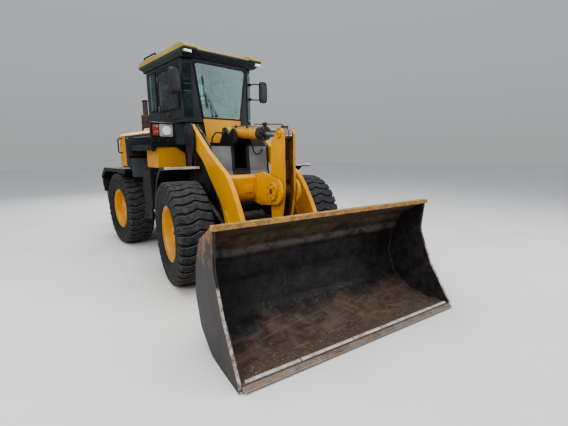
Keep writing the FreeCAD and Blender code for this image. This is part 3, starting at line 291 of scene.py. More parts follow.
yellow = paint("yellow_paint", YELLOW, dirt=0.50, wear=0.55, dust=0.22, coat=0.12, spec=0.35)
yellow_boom = paint("boom_paint", YELLOW, dirt=0.42, wear=0.6, dust=0.22, split=boom_split, coat=0.14, spec=0.38)
yellow_bell = paint("bellcrank_paint", YELLOW, dirt=0.5, wear=0.75, dust=0.22, split=bell_split, coat=0.14, spec=0.38)
yellow_barrel = paint("tilt_barrel_paint", YELLOW, dirt=0.8, wear=0.7, dust=0.5, split=barrel_split)
yellow_rim = paint("rim_paint", (0.66, 0.315, 0.010), dirt=0.62, wear=0.6, dust=0.2, low=1.0, coat=0.12)
yellow_tank = paint("tank_paint", (0.58, 0.290, 0.018), dirt=0.5, wear=0.45, dust=0.25, coat=0.1)
hood_paint = paint("hood_paint", YELLOW, dirt=0.55, wear=0.6, dust=0.26, split=hood_split, rough=0.42, coat=0.12, spec=0.35)
roof_paint = paint("roof_paint", YELLOW, dirt=0.6, wear=0.5, dust=0.4, split=roof_split, rough=0.44, coat=0.05, spec=0.28)
tower_paint = paint("tower_paint", DARK, dirt=0.42, wear=0.45, dust=0.40, rough=0.48, split=tower_split, coat=0.04, spec=0.28)
black = paint("black_paint", DARK, dirt=0.45, wear=0.38, dust=0.20, rough=0.44, spec=0.24, coat=0.03, chip=(0.13, 0.10, 0.08))
black_fender = paint("fender_paint", (0.010, 0.012, 0.015), dirt=0.30, wear=0.42, dust=0.27, rough=0.44, spec=0.22, coat=0.03, chip=(0.15, 0.12, 0.10))
black_clean = paint("louvre_paint", (0.018, 0.024, 0.028), dirt=0.40, wear=0.3, dust=0.14, rough=0.42, spec=0.25, coat=0.04)
cab_grey = paint("cab_paint", (0.014, 0.023, 0.027), dirt=0.18, wear=0.25, dust=0.20, rough=0.42, coat=0.04, spec=0.26)
shield_grey = paint("shield_paint", (0.085, 0.108, 0.126), dirt=0.40, wear=0.3, dust=0.4, rough=0.42, coat=0.1)
shield_dark = paint("shield_upper_paint", (0.030, 0.036, 0.043), dirt=0.35, wear=0.3, dust=0.3, rough=0.44, coat=0.04, spec=0.28)
cast = paint("cast_iron", (0.028, 0.029, 0.031), dirt=0.85, wear=0.3, dust=0.6, rough=0.62, coat=0.0, grain=0.5)
weight_paint = paint("counterweight_paint", (0.016, 0.020, 0.024), dirt=0.42, wear=0.45, dust=0.20, rough=0.48, coat=0.04, grain=0.35, spec=0.28)
engine_grey = paint("engine_grey", (0.16, 0.16, 0.155), dirt=0.8, wear=0.3, dust=0.6, rough=0.6, coat=0.0, grain=0.3)
cyl_black = paint("cylinder_black", (0.013, 0.014, 0.017), dirt=0.5, wear=0.45, dust=0.30, rough=0.42, coat=0.06, spec=0.28)
stack_paint = paint("stack_heat", (0.060, 0.042, 0.034), dirt=0.4, wear=0.9, dust=0.3, rough=0.66, coat=0.0, chip=(0.16, 0.07, 0.03))


def rubber(name, base, dusty, low=0.5):
    t = Tree(name)
    n = t.noise(9, 8, 0.65)
    col = t.mix(t.ramp(n, 0.36, 0.72), base, tuple(v * 1.9 for v in base))
    film = t.mul(t.ramp(t.noise(26, 8, 0.7, warp=0.4), 0.40, 0.68), dusty)
    col = t.mix(film, col, (0.155, 0.150, 0.142))
    z = t.axis((0, 0, 1))
    wet = t.mul(t.ramp(z, 0.26, 0.02), low, t.ramp(t.noise(17, 6), 0.35, 0.6))
    col = t.mix(wet, col, (0.115, 0.085, 0.062))
    h = t.math("ADD", t.mul(t.noise(240, 3), 0.5), t.mul(t.noise(38, 5), 1.0))
    t.p.inputs["Specular IOR Level"].default_value = 0.22
    return t.end(col, t.math("ADD", t.mul(n, 0.25), 0.56), t.bump(h, 0.32, 0.0011))


tyre_side = rubber("tyre_side", (0.0100, 0.0105, 0.0120), 0.15)
tyre_top = rubber("tyre_lug", (0.017, 0.018, 0.021), 0.30)
# the lug chamfers' rubber is made lighter: painted highlight along the lug edges, with dust and wear
tyre_edge_highlight = rubber("tyre_lug_edge_highlight", (0.062, 0.062, 0.064), 0.50)
tyre_groove = rubber("tyre_groove", (0.011, 0.011, 0.012), 0.18)
seal = rubber("rubber_seal", (0.012, 0.012, 0.013), 0.10, 0.0)
hose_rubber = rubber("hose_rubber", (0.014, 0.014, 0.015), 0.16, 0.0)


def steel(name, base, rust=0.3, rough=0.34, metal=1.0, streak=(40, 40, 3)):
    t = Tree(name)
    s = t.noise(1.0, 6, 0.6, vec=t.scaled(*streak))
    col = t.mix(t.ramp(s, 0.3, 0.7), base, tuple(v * 0.62 for v in base))
    rusty = t.mul(t.ramp(t.noise(19, 8, 0.7, warp=0.5), 0.50, 0.66), rust)
    col = t.mix(rusty, col, RUST)
    r = t.math("ADD", t.mul(rusty, 0.4), t.math("ADD", t.mul(s, 0.2), rough - 0.08), clamp=True)
    mt = t.math("SUBTRACT", metal, t.mul(rusty, 0.8), clamp=True)
    return t.end(col, r, t.bump(t.math("ADD", t.noise(180, 4), t.mul(rusty, 1.2)), 0.22, 0.0007), mt)


pin_steel = steel("pin_steel", (0.36, 0.34, 0.31), 0.65, 0.42)
bolt_steel = steel("bolt_steel", (0.22, 0.205, 0.185), 0.55, 0.48)
chrome = steel("rod_chrome", (0.66, 0.66, 0.68), 0.10, 0.16, streak=(3, 3, 3))
dull_chrome = steel("lamp_reflector", (0.72, 0.72, 0.73), 0.0, 0.22)
old_rod = steel("leveller_rod", (0.52, 0.46, 0.44), 0.45, 0.44)
mirror_face = steel("mirror_face", (0.80, 0.82, 0.84), 0.0, 0.09, streak=(2, 2, 2))


def bucket_material():
    """Scraped dark steel; the places of its bands follow the bucket's own shape."""
    t = Tree("bucket_steel")
    x, y, z = t.axis(XF), t.axis(YF), t.axis((0, 0, 1))
    warp = t.mul(t.math("SUBTRACT", t.noise(3.1, 7, 0.62), 0.5), 0.30)
    zz = t.math("ADD", z, warp)
    n1, n2 = t.noise(7, 9, 0.68, warp=0.7), t.noise(33, 7, 0.7)
    scratch = t.noise(1.0, 7, 0.66, vec=t.scaled(34, 34, 2.2))
    across = t.noise(1.0, 7, 0.66, vec=t.scaled(2.0, 26, 26, TURN))
    dark = t.mix(t.ramp(n1, 0.34, 0.70), (0.017, 0.018, 0.022), (0.050, 0.043, 0.042))
    dark = t.mix(t.mul(t.ramp(scratch, 0.56, 0.70), 0.30), dark, (0.095, 0.082, 0.075))
    # floor: brown mud, dry and pale in places
    mud = t.mix(t.ramp(n1, 0.36, 0.66), (0.060, 0.044, 0.036), (0.135, 0.098, 0.074))
    mud = t.mix(t.mul(t.ramp(across, 0.50, 0.68), 0.5), mud, (0.185, 0.155, 0.130))
    up = t.ramp(t.axis((0, 0, 1), t.no), 0.35, 0.9)
    floor = t.mul(t.ramp(zz, 0.155, 0.075), up)
    col = t.mix(floor, dark, mud)
    # pale crust along the top of the mud
    inside = t.ramp(t.math("ABSOLUTE", x), 1.214, 1.208)
    crust = t.mul(near(t, zz, 0.135, 0.160, 0.014), t.ramp(n2, 0.54, 0.64), 0.45, inside)
    col = t.mix(crust, col, (0.26, 0.24, 0.22))
    # inner bend under the lip: a scuffed grey band, above it a brown one
    inner = t.mul(t.ramp(t.axis(YF, t.no), 0.1, -0.35), t.ramp(t.math("ABSOLUTE", x), 1.222, 1.218))
    band = t.mul(t.ramp(zz, 0.800, 0.870), inner)
    brown = t.mix(t.ramp(n1, 0.34, 0.68), (0.058, 0.042, 0.028), (0.130, 0.093, 0.056))
    col = t.mix(t.mul(band, 0.95), col, brown)
    grey = t.mul(near(t, t.math("ADD", z, t.mul(warp, 0.25)), 0.735, 0.815, 0.025), inner, t.ramp(n1, 0.30, 0.55), 0.85)
    col = t.mix(grey, col, (0.175, 0.155, 0.140))
    # yellow paint left on the lip and high on the outer sides
    left = t.most(t.ramp(z, 1.078, 1.084), t.mul(t.ramp(t.math("ABSOLUTE", x), 1.238, 1.243), t.ramp(zz, 0.72, 0.86), t.ramp(n1, 0.44, 0.56)))
    paintleft = t.mix(t.most(t.ramp(n2, 0.42, 0.60), t.ramp(scratch, 0.50, 0.62)), (0.34, 0.165, 0.042), (0.120, 0.056, 0.028))
    liplight = t.mix(t.ramp(t.noise(19, 8, 0.7), 0.38, 0.60), (0.44, 0.262, 0.075), (0.235, 0.135, 0.062))
    liplight = t.mix(t.mul(t.ramp(n2, 0.60, 0.70), 0.7), liplight, (0.55, 0.50, 0.40))
    paintleft = t.mix(t.ramp(z, 1.078, 1.084), paintleft, liplight)
    col = t.mix(left, col, paintleft)
    # bright worn front edges of the side plates
    front = t.mul(t.ramp(t.axis(YF, t.no), -0.30, -0.55), t.ramp(t.math("ABSOLUTE", x), 1.217, 1.221), t.ramp(zz, 0.66, 0.56))
    worn = t.mix(t.ramp(t.noise(21, 7, 0.7), 0.42, 0.62), (0.42, 0.39, 0.36), (0.20, 0.12, 0.07))
    col = t.mix(t.mul(front, 0.95), col, worn)
    e = t.mul(t.edges(0.006), t.ramp(n2, 0.42, 0.56), 0.75)
    col = t.mix(e, col, (0.27, 0.235, 0.205))
    r = t.math("ADD", t.mul(n1, 0.30), t.math("ADD", 0.34, t.mul(t.most(floor, band), 0.30)), clamp=True)
    metal = t.mul(t.ramp(scratch, 0.48, 0.62), 0.22)
    t.p.inputs["Specular IOR Level"].default_value = 0.26
    dents = t.mul(t.noise(2.3, 3), 9.0)
    h = t.math("ADD", dents, t.math("ADD", t.mul(n2, 0.45), t.mul(t.most(floor, crust), t.mul(n1, 1.6))))
    return t.end(col, r, t.bump(h, 0.42, 0.0022), metal)


def edge_material():
    t = Tree("cutting_edge")
    y = t.axis(YF)
    n1, n2 = t.noise(9, 8, 0.68), t.noise(44, 6, 0.7)
    col = t.mix(t.ramp(n1, 0.35, 0.66), (0.215, 0.170, 0.132), (0.115, 0.080, 0.057))
    col = t.mix(t.mul(t.ramp(n2, 0.5, 0.62), 0.4), col, (0.30, 0.255, 0.21))
    col = t.mix(t.mul(near(t, y, -3.744, -3.731, 0.002), 0.8), col, (0.034, 0.027, 0.024))
    # behind the worn strip the plate wears the same mud as the floor
    behind = t.mul(t.ramp(t.math("ADD", y, t.mul(t.math("SUBTRACT", n1, 0.5), 0.02)), -3.702, -3.694), 0.92)
    col = t.mix(behind, col, t.mix(t.ramp(n2, 0.38, 0.62), (0.062, 0.044, 0.034), (0.140, 0.100, 0.074)))
    e = t.mul(t.edges(0.006), t.math("SUBTRACT", 1.0, t.mul(behind, 0.8)))
    col = t.mix(t.mul(e, 0.6), col, (0.36, 0.32, 0.28))
    return t.end(col, t.math("ADD", t.mul(n1, 0.3), 0.42), t.bump(t.math("ADD", n1, t.mul(n2, 0.4)), 0.4, 0.0016), 0.35)


bucket_steel = bucket_material()
edge_steel = edge_material()


def bright_strip():
    t = Tree("worn_strip")
    n1 = t.noise(13, 8, 0.7)
    col = t.mix(t.ramp(n1, 0.40, 0.66), (0.68, 0.64, 0.60), (0.36, 0.29, 0.24))
    return t.end(col, t.math("ADD", t.mul(n1, 0.3), 0.30), t.bump(t.noise(60, 5), 0.3, 0.001), 0.45)


worn_strip = bright_strip()


def glass_material(name, tint, dirt=0.10):
    t = Tree(name)
    t.t.nodes.remove(t.p)
    clear = t.t.nodes.new("ShaderNodeBsdfTransparent")
    film = t.noise(3.0, 8, 0.65)
    t.put(clear.inputs["Color"], t.mix(t.ramp(film, 0.35, 0.75), tint, tuple(v * 0.90 for v in tint)))
    shine = t.t.nodes.new("ShaderNodeBsdfGlossy")
    shine.inputs["Color"].default_value = (0.92, 0.97, 0.97, 1)
    shine.inputs["Roughness"].default_value = 0.025
    fres = t.t.nodes.new("ShaderNodeFresnel")
    fres.inputs["IOR"].default_value = 1.42
    a = t.t.nodes.new("ShaderNodeMixShader")
    t.link(fres.outputs[0], a.inputs[0])
    t.link(clear.outputs[0], a.inputs[1])
    t.link(shine.outputs[0], a.inputs[2])
    haze = t.t.nodes.new("ShaderNodeBsdfDiffuse")
    haze.inputs["Color"].default_value = (0.42, 0.46, 0.45, 1)
    b = t.t.nodes.new("ShaderNodeMixShader")
    t.put(b.inputs[0], t.mul(t.ramp(t.noise(4.2, 8, 0.7, warp=0.8), 0.42, 0.78), dirt))
    t.link(a.outputs[0], b.inputs[1])
    t.link(haze.outputs[0], b.inputs[2])
    t.link(b.outputs[0], t.out.inputs[0])
    return t.m


glass = glass_material("cab_glass", (0.62, 0.81, 0.79), 0.08)
lamp_glass = glass_material("lamp_glass", (0.94, 0.96, 0.96), 0.22)


def lens(name, col, glow=0.0):
    t = Tree(name)
    v = t.voronoi(190)
    c = t.mix(t.ramp(v, 0.0, 0.6), col, tuple(min(1, k * 1.5 + 0.02) for k in col))
    m = t.end(c, t.math("ADD", t.mul(t.noise(40, 4), 0.15), 0.10), t.bump(v, 0.5, 0.0012))
    t.p.inputs["Coat Weight"].default_value = 0.8
    t.p.inputs["Coat Roughness"].default_value = 0.05
    return m


red_lens = lens("red_lens", (0.52, 0.028, 0.012))
dark_lens = lens("dark_red_lens", (0.26, 0.022, 0.012))
amber_lens = lens("amber_lens", (0.75, 0.20, 0.01))
pale_lens = lens("pale_lens", (0.62, 0.64, 0.62))


def plastic(name, base, rough=0.5, grain=260):
    t = Tree(name)
    n = t.noise(6, 7, 0.6)
    col = t.mix(t.ramp(n, 0.35, 0.7), base, tuple(v * 1.35 + 0.004 for v in base))
    film = t.mul(t.ramp(t.noise(15, 8, 0.7), 0.45, 0.75), t.ramp(t.axis((0, 0, 1), t.no), 0.3, 0.9), 0.5)
    col = t.mix(film, col, DUST)
    return t.end(col, t.math("ADD", t.mul(n, 0.2), rough - 0.1), t.bump(t.math("ADD", t.noise(grain, 3), t.mul(t.voronoi(grain * 1.5), 0.6)), 0.25, 0.0006))


trim_black = plastic("moulded_black", (0.017, 0.018, 0.020))
trim_grey = plastic("moulded_grey", (0.060, 0.065, 0.070))
mirror_back = plastic("mirror_housing", (0.011, 0.013, 0.016), 0.50)
lamp_bezel = plastic("lamp_bezel", (0.30, 0.31, 0.31), 0.30)


def fabric_material():
    t = Tree("seat_cloth")
    w = t.t.nodes.new("ShaderNodeTexWave")
    w.inputs["Scale"].default_value = 190
    w.bands_direction = "X"
    t.link(t.co, w.inputs["Vector"])
    v = t.t.nodes.new("ShaderNodeTexWave")
    v.inputs["Scale"].default_value = 190
    v.bands_direction = "Z"
    t.link(t.co, v.inputs["Vector"])
    weave = t.mul(w.outputs["Fac"], v.outputs["Fac"])
    n = t.noise(8, 7, 0.65)
    col = t.mix(t.ramp(n, 0.35, 0.7), (0.035, 0.038, 0.044), (0.075, 0.075, 0.078))
    col = t.mix(t.mul(weave, 0.5), col, (0.10, 0.105, 0.115))
    m = t.end(col, t.math("ADD", t.mul(n, 0.15), 0.78), t.bump(t.math("ADD", weave, t.mul(t.noise(45, 5), 1.2)), 0.35, 0.0009))
    t.p.inputs["Sheen Weight"].default_value = 0.35
    return m


seat_cloth = fabric_material()


def chequer_plate():
    """Raised pattern of a tread plate, in relief."""
    t = Tree("tread_plate")
    a = t.t.nodes.new("ShaderNodeTexWave")
    a.inputs["Scale"].default_value = 14
    a.bands_direction = "DIAGONAL"
    t.link(t.scaled(1, 1, 0), a.inputs["Vector"])
    b = t.t.nodes.new("ShaderNodeTexWave")
    b.inputs["Scale"].default_value = 14
    b.bands_direction = "DIAGONAL"
    t.link(t.scaled(1, -1, 0), b.inputs["Vector"])
    bars = t.ramp(t.most(t.mul(a.outputs["Fac"], t.ramp(b.outputs["Fac"], 0.4, 0.6)), 0.0), 0.55, 0.75)
    n = t.noise(9, 8, 0.7)
    col = t.mix(t.ramp(n, 0.38, 0.68), DARK, (0.10, 0.088, 0.072))
    col = t.mix(t.mul(bars, t.ramp(t.noise(21, 5), 0.4, 0.6), 0.6), col, (0.22, 0.20, 0.18))
    up = t.ramp(t.axis((0, 0, 1), t.no), 0.6, 0.95)
    col = t.mix(t.mul(up, t.ramp(t.noise(6, 7, 0.7), 0.40, 0.7), 0.5), col, DUST)
    return t.end(col, t.math("ADD", t.mul(n, 0.25), 0.42), t.bump(t.math("ADD", t.mul(bars, up), t.mul(n, 0.3)), 0.7, 0.003))


tread_plate = chequer_plate()


def floor_material():
    t = Tree("studio_floor")
    n = t.noise(0.9, 6, 0.6)
    col = t.mix(t.ramp(n, 0.3, 0.7), (0.66, 0.655, 0.645), (0.70, 0.695, 0.685))
    return t.end(col, 0.75, t.bump(t.noise(90, 5), 0.08, 0.001))


# --------------------------------------------------------------- mesh building
def outline(points):
    """A closed outline; a point (a, b, r) has its corner rounded to r."""
    res = []
    n = len(points)
    for i, p in enumerate(points):
        r = p[2] if len(p) > 2 else 0
        c = Vector(p[:2])
        if r <= 0:
            res.append(tuple(c))
            continue
        q0, q1 = Vector(points[i - 1][:2]), Vector(points[(i + 1) % n][:2])
        u, w = (q0 - c), (q1 - c)
        lu, lw = u.length, w.length
        u.normalize()
        w.normalize()
        ang = math.acos(max(-1, min(1, u.dot(w))))
        tt = min(r / math.tan(ang / 2), 0.49 * lu, 0.49 * lw)
        rr = tt * math.tan(ang / 2)
        mid = c + (u + w).normalized() * (rr / math.sin(ang / 2))
        s, e = c + u * tt, c + w * tt
        a0 = math.atan2(s.y - mid.y, s.x - mid.x)
        a1 = math.atan2(e.y - mid.y, e.x - mid.x)
        d = (a1 - a0 + math.pi) % (2 * math.pi) - math.pi
        k = max(2, int(abs(d) / math.radians(15)))
        for j in range(k + 1):
            a = a0 + d * j / k
            res.append((mid.x + rr * math.cos(a), mid.y + rr * math.sin(a)))
    return res


def smooth_path(points, bend=60.0, step=8):
    """Corners of a pipe's path rounded by short curves."""
    pts = [Vector(p) for p in points]
    res = [pts[0]]
    for i in range(1, len(pts) - 1):
        a, b, c = pts[i - 1], pts[i], pts[i + 1]
        t = min(bend, 0.48 * (a - b).length, 0.48 * (c - b).length)
        s, e = b + (a - b).normalized() * t, b + (c - b).normalized() * t
        for k in range(step + 1):
            f = k / step
            res.append(s * (1 - f) ** 2 + b * 2 * f * (1 - f) + e * f * f)
    res.append(pts[-1])
    return res


class Piece:
    """A mesh made of several solids, drawn in millimetres about the hinge."""

    def __init__(self, name, front=False):
        self.name, self.front = name, front
        self.bm = bmesh.new()
        self.mats = []

    def emit(self, b, mat, bev=0.0, seg=2, mat2=None, pick=None):
        if mat not in self.mats:
            self.mats.append(mat)
        i = self.mats.index(mat)
        bmesh.ops.remove_doubles(b, verts=b.verts, dist=0.01)
        bmesh.ops.recalc_face_normals(b, faces=b.faces)
        if bev > 0:
            sharp = [e for e in b.edges if len(e.link_faces) == 2 and e.calc_face_angle(0) > math.radians(28)]
            bmesh.ops.bevel(b, geom=sharp, offset=bev, segments=seg, profile=0.6, affect="EDGES", clamp_overlap=True)
        for f in b.faces:
            f.material_index = i
        me = bpy.data.meshes.new("part")
        b.to_mesh(me)
        b.free()
        self.bm.from_mesh(me)
        bpy.data.meshes.remove(me)

    def shape(self, verts, faces, mat, bev=0.0, seg=2, M=None):
        b = bmesh.new()
        vs = [b.verts.new(M @ Vector(v) if M else v) for v in verts]
        for f in faces:
            b.faces.new([vs[k] for k in f])
        self.emit(b, mat, bev, seg)

    def box(self, x0, x1, y0, y1, z0, z1, mat, bev=3.0, M=None, seg=2):
        v = [(x, y, z) for x in (x0, x1) for y in (y0, y1) for z in (z0, z1)]
        f = [(0, 1, 3, 2), (4, 6, 7, 5), (0, 4, 5, 1), (2, 3, 7, 6), (0, 2, 6, 4), (1, 5, 7, 3)]
        self.shape(v, f, mat, bev, seg, M)

    def lathe(self, centre, axis, profile, mat, seg=32, bev=0.0, start=0.0):
        """profile: (distance along the axis, radius) from one end on the axis to the other, or a closed ring."""
        a = Vector(axis).normalized()
        u = a.orthogonal().normalized()
        w = a.cross(u)
        c = Vector(centre)
        b = bmesh.new()
        rings = []
        for d, r in profile:
            if r < 1e-6:
                rings.append([b.verts.new(c + a * d)])
            else:
                rings.append([b.verts.new(c + a * d + (u * math.cos(start + 2 * math.pi * k / seg) + w * math.sin(start + 2 * math.pi * k / seg)) * r)
                              for k in range(seg)])
        closed = profile[0][1] > 1e-6 or profile[-1][1] > 1e-6
        pairs = list(zip(rings[:-1], rings[1:])) + ([(rings[-1], rings[0])] if closed else [])
        for p, q in pairs:
            for k in range(seg):
                k2 = (k + 1) % seg
                if len(p) == 1 and len(q) == 1:
                    continue
                if len(p) == 1:
                    b.faces.new((p[0], q[k], q[k2]))
                elif len(q) == 1:
                    b.faces.new((p[k], q[0], p[k2]))
                else:
                    b.faces.new((p[k], q[k], q[k2], p[k2]))
        self.emit(b, mat, bev)

    def rod(self, p0, p1, r, mat, seg=20, bev=1.5, r2=None):
        p0, p1 = Vector(p0), Vector(p1)
        L = (p1 - p0).length
        self.lathe(p0, p1 - p0, [(0, 0), (0, r), (L, r if r2 is None else r2), (L, 0)], mat, seg, bev)

    def ring(self, centre, axis, R, r, mat, seg=32, tube=10):
        prof = [(r * math.sin(2 * math.pi * k / tube), R + r * math.cos(2 * math.pi * k / tube)) for k in range(tube)]
        self.lathe(centre, axis, prof, mat, seg)

    def hexagon(self, centre, axis, r, h, mat, washer=True, stud=True):
        c, a = Vector(centre), Vector(axis).normalized()
        if washer:
            self.lathe(c, a, [(-1, 0), (-1, r * 1.35), (r * 0.18, r * 1.35), (r * 0.18, 0)], mat, 14)
        self.lathe(c, a, [(0, 0), (0, r * 1.12), (h - r * 0.15, r * 1.12), (h, r * 0.9), (h, 0)], mat, 6)
        if stud:
            self.lathe(c, a, [(0, 0), (0, r * 0.5), (h + r * 0.45, r * 0.5), (h + r * 0.55, r * 0.38), (h + r * 0.55, 0)], mat, 8)

    def prism(self, points, plane, a0, a1, mat, bev=2.0, seg=2):
        pts = outline(points)

        def at(p, d):
            return {"yz": (d, p[0], p[1]), "xz": (p[0], d, p[1]), "xy": (p[0], p[1], d)}[plane]
        n = len(pts)
        v = [at(p, a0) for p in pts] + [at(p, a1) for p in pts]
        f = [tuple(range(n)), tuple(range(2 * n - 1, n - 1, -1))] + [(k, (k + 1) % n, n + (k + 1) % n, n + k) for k in range(n)]
        self.shape(v, f, mat, bev, seg)

    def frame(self, outer, inner, plane, a0, a1, mat, bev=1.5):
        """A flat band between two outlines with the same number of points."""
        po, pi = outline(outer), outline(inner)
        n = len(po)

        def at(p, d):
            return {"yz": (d, p[0], p[1]), "xz": (p[0], d, p[1]), "xy": (p[0], p[1], d)}[plane]
        v = [at(p, a0) for p in po] + [at(p, a1) for p in po] + [at(p, a0) for p in pi] + [at(p, a1) for p in pi]
        f = []
        for k in range(n):
            j = (k + 1) % n
            f += [(k, j, n + j, n + k), (2 * n + k, 3 * n + k, 3 * n + j, 2 * n + j), (n + k, n + j, 3 * n + j, 3 * n + k),
                  (k, 2 * n + k, 2 * n + j, j)]
        self.shape(v, f, mat, bev)

    def pipe(self, points, r, mat, bend=60.0, seg=12):
        path = smooth_path(points, bend)
        b = bmesh.new()
        rings = []
        d = (path[1] - path[0]).normalized()
        u = d.orthogonal().normalized()
        for i, p in enumerate(path):
            if i == 0:
                d = (path[1] - path[0]).normalized()
            elif i == len(path) - 1:
                d = (path[-1] - path[-2]).normalized()
            else:
                d = (path[i + 1] - path[i - 1]).normalized()
            u = (u - d * u.dot(d)).normalized()
            w = d.cross(u)
            rings.append([b.verts.new(p + (u * math.cos(2 * math.pi * k / seg) + w * math.sin(2 * math.pi * k / seg)) * r) for k in range(seg)])
        for p, q in zip(rings[:-1], rings[1:]):
            for k in range(seg):
                b.faces.new((p[k], p[(k + 1) % seg], q[(k + 1) % seg], q[k]))
        b.faces.new(rings[0][::-1])
        b.faces.new(rings[-1])
        self.emit(b, mat)

    def bead(self, points, r, mat, seed=1):
        """A weld bead: a ribbed, slightly uneven cord of metal."""
        path = []
        for a, c in zip(points[:-1], points[1:]):
            a, c = Vector(a), Vector(c)
            k = max(2, int((c - a).length / 9))
            path += [a.lerp(c, j / k) for j in range(k)]
        path.append(Vector(points[-1]))
        rnd = random.Random(seed)
        b = bmesh.new()
        rings = []
        u = (path[1] - path[0]).orthogonal().normalized()
        for i, p in enumerate(path):
            d = (path[min(i + 1, len(path) - 1)] - path[max(i - 1, 0)]).normalized()
            u = (u - d * u.dot(d)).normalized()
            w = d.cross(u)
            rr = r * (1.0 + (0.16 if i % 2 else -0.10) + rnd.uniform(-0.08, 0.08))
            rings.append([b.verts.new(p + (u * math.cos(math.pi * k / 3) + w * math.sin(math.pi * k / 3)) * rr) for k in range(6)])
        for p, q in zip(rings[:-1], rings[1:]):
            for k in range(6):
                b.faces.new((p[k], p[(k + 1) % 6], q[(k + 1) % 6], q[k]))
        b.faces.new(rings[0][::-1])
        b.faces.new(rings[-1])
        self.emit(b, mat)

    def done(self, body, slot=None, angle=35, replaces=()):
        bm = self.bm
        for f in bm.faces:
            f.smooth = True
        for e in bm.edges:
            e.smooth = not (len(e.link_faces) == 2 and e.calc_face_angle(0) > math.radians(angle))
        me = bpy.data.meshes.new(self.name)
        bm.to_mesh(me)
        bm.free()
        me.transform(M_FRONT if self.front else M_REAR)
        for m in self.mats:
            me.materials.append(m)
        ob = bpy.data.objects.new(self.name, me)
        scene.collection.objects.link(ob)
        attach(ob, body)
        if replaces:
            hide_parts(*replaces)
        return ob


# ------------------------------------------------------- finish of the CAD nodes
def dress(name, mat, bevel=0.003, segments=2, angle=30):
    o = NODES[name]
    if not o.material_slots:
        o.data.materials.append(mat)
    for s in o.material_slots:
        s.material = mat
    weld = o.modifiers.new("weld", "WELD")
    weld.merge_threshold = 0.00003
    flat = o.modifiers.new("flat", "DECIMATE")
    flat.decimate_type = "DISSOLVE"
    flat.angle_limit = math.radians(0.6)
    if bevel:
        b = o.modifiers.new("bevel", "BEVEL")
        b.width = bevel
        b.segments = segments
        b.limit_method = "ANGLE"
        b.angle_limit = math.radians(angle)
        b.profile = 0.6
    w = o.modifiers.new("shade", "WEIGHTED_NORMAL")
    w.keep_sharp = True
    return o


DRESS = [
    # node, material, bevel (m)
    ("rear_frame", black, 0.004), ("rear_axle", cast, 0.003), ("front_axle", cast, 0.003), ("hood", hood_paint, 0.004),
    ("hood_door_left", black_clean, 0.0025), ("hood_door_right", black_clean, 0.0025), ("rear_grille", black, 0.003),
    ("engine_block", engine_grey, 0.012), ("radiator", engine_grey, 0.006), ("exhaust_stack", stack_paint, 0.003),
    ("counterweight", weight_paint, 0.010), ("rear_fenders", black_fender, 0.003), ("front_fenders", black_fender, 0.003),
    ("steps", black, 0.004), ("decks", black_fender, 0.003), ("side_tanks", yellow_tank, 0.010), ("cab_shell", cab_grey, 0.005),
    ("cab_glass", glass, 0), ("door_glass_left", glass, 0), ("door_glass_right", glass, 0),
    ("cab_door_left", cab_grey, 0.005), ("cab_door_right", cab_grey, 0.005), ("cab_roof", roof_paint, 0.010),
    ("cab_nose", yellow, 0.002), ("hand_rails", black, 0), ("front_frame", tower_paint, 0.004), ("boom", yellow_boom, 0.006),
    ("bucket", bucket_steel, 0.004), ("bucket_edge", edge_steel, 0.003), ("bucket_pins", pin_steel, 0.004),
    ("bellcrank", yellow_bell, 0.005), ("bellcrank_pin", yellow_bell, 0.004), ("link_pin", pin_steel, 0.003),
    ("tilt_link", yellow, 0.005), ("tilt_barrel", yellow_barrel, 0.003), ("tilt_pin", pin_steel, 0.003), ("tilt_rod", chrome, 0.002),
    ("lift_barrels", cyl_black, 0.003), ("lift_rods", chrome, 0.002), ("steer_barrel_left", cyl_black, 0.002),
    ("steer_barrel_right", cyl_black, 0.002), ("steer_rod_left", chrome, 0.0015), ("steer_rod_right", chrome, 0.0015),
]
for n, m, bv in DRESS:
    dress(n, m, bv)
if "hoses" in NODES:
    dress("hoses", hose_rubber, 0)

# ----------------------------------------------------------------------- wheels
HUB, REACH, TRACK = 655.0, 1426.0, 930.0
LUGS = 34


def wave(u, side):
    """Sideways place u (-1 inboard to 1 outboard) to the lug's offset along the tread, mm."""
    pts = [(-1.25, -14), (-1.0, -10), (-0.62, -2), (-0.18, 34), (0.16, -2), (0.55, -22), (1.0, -4), (1.25, 2)]
    for (a, fa), (b, fb) in zip(pts[:-1], pts[1:]):
        if a <= u <= b:
            f = (u - a) / (b - a)
            f = f * f * (3 - 2 * f) * 0.45 + f * 0.55
            return fa + (fb - fa) * f
    return 0.0


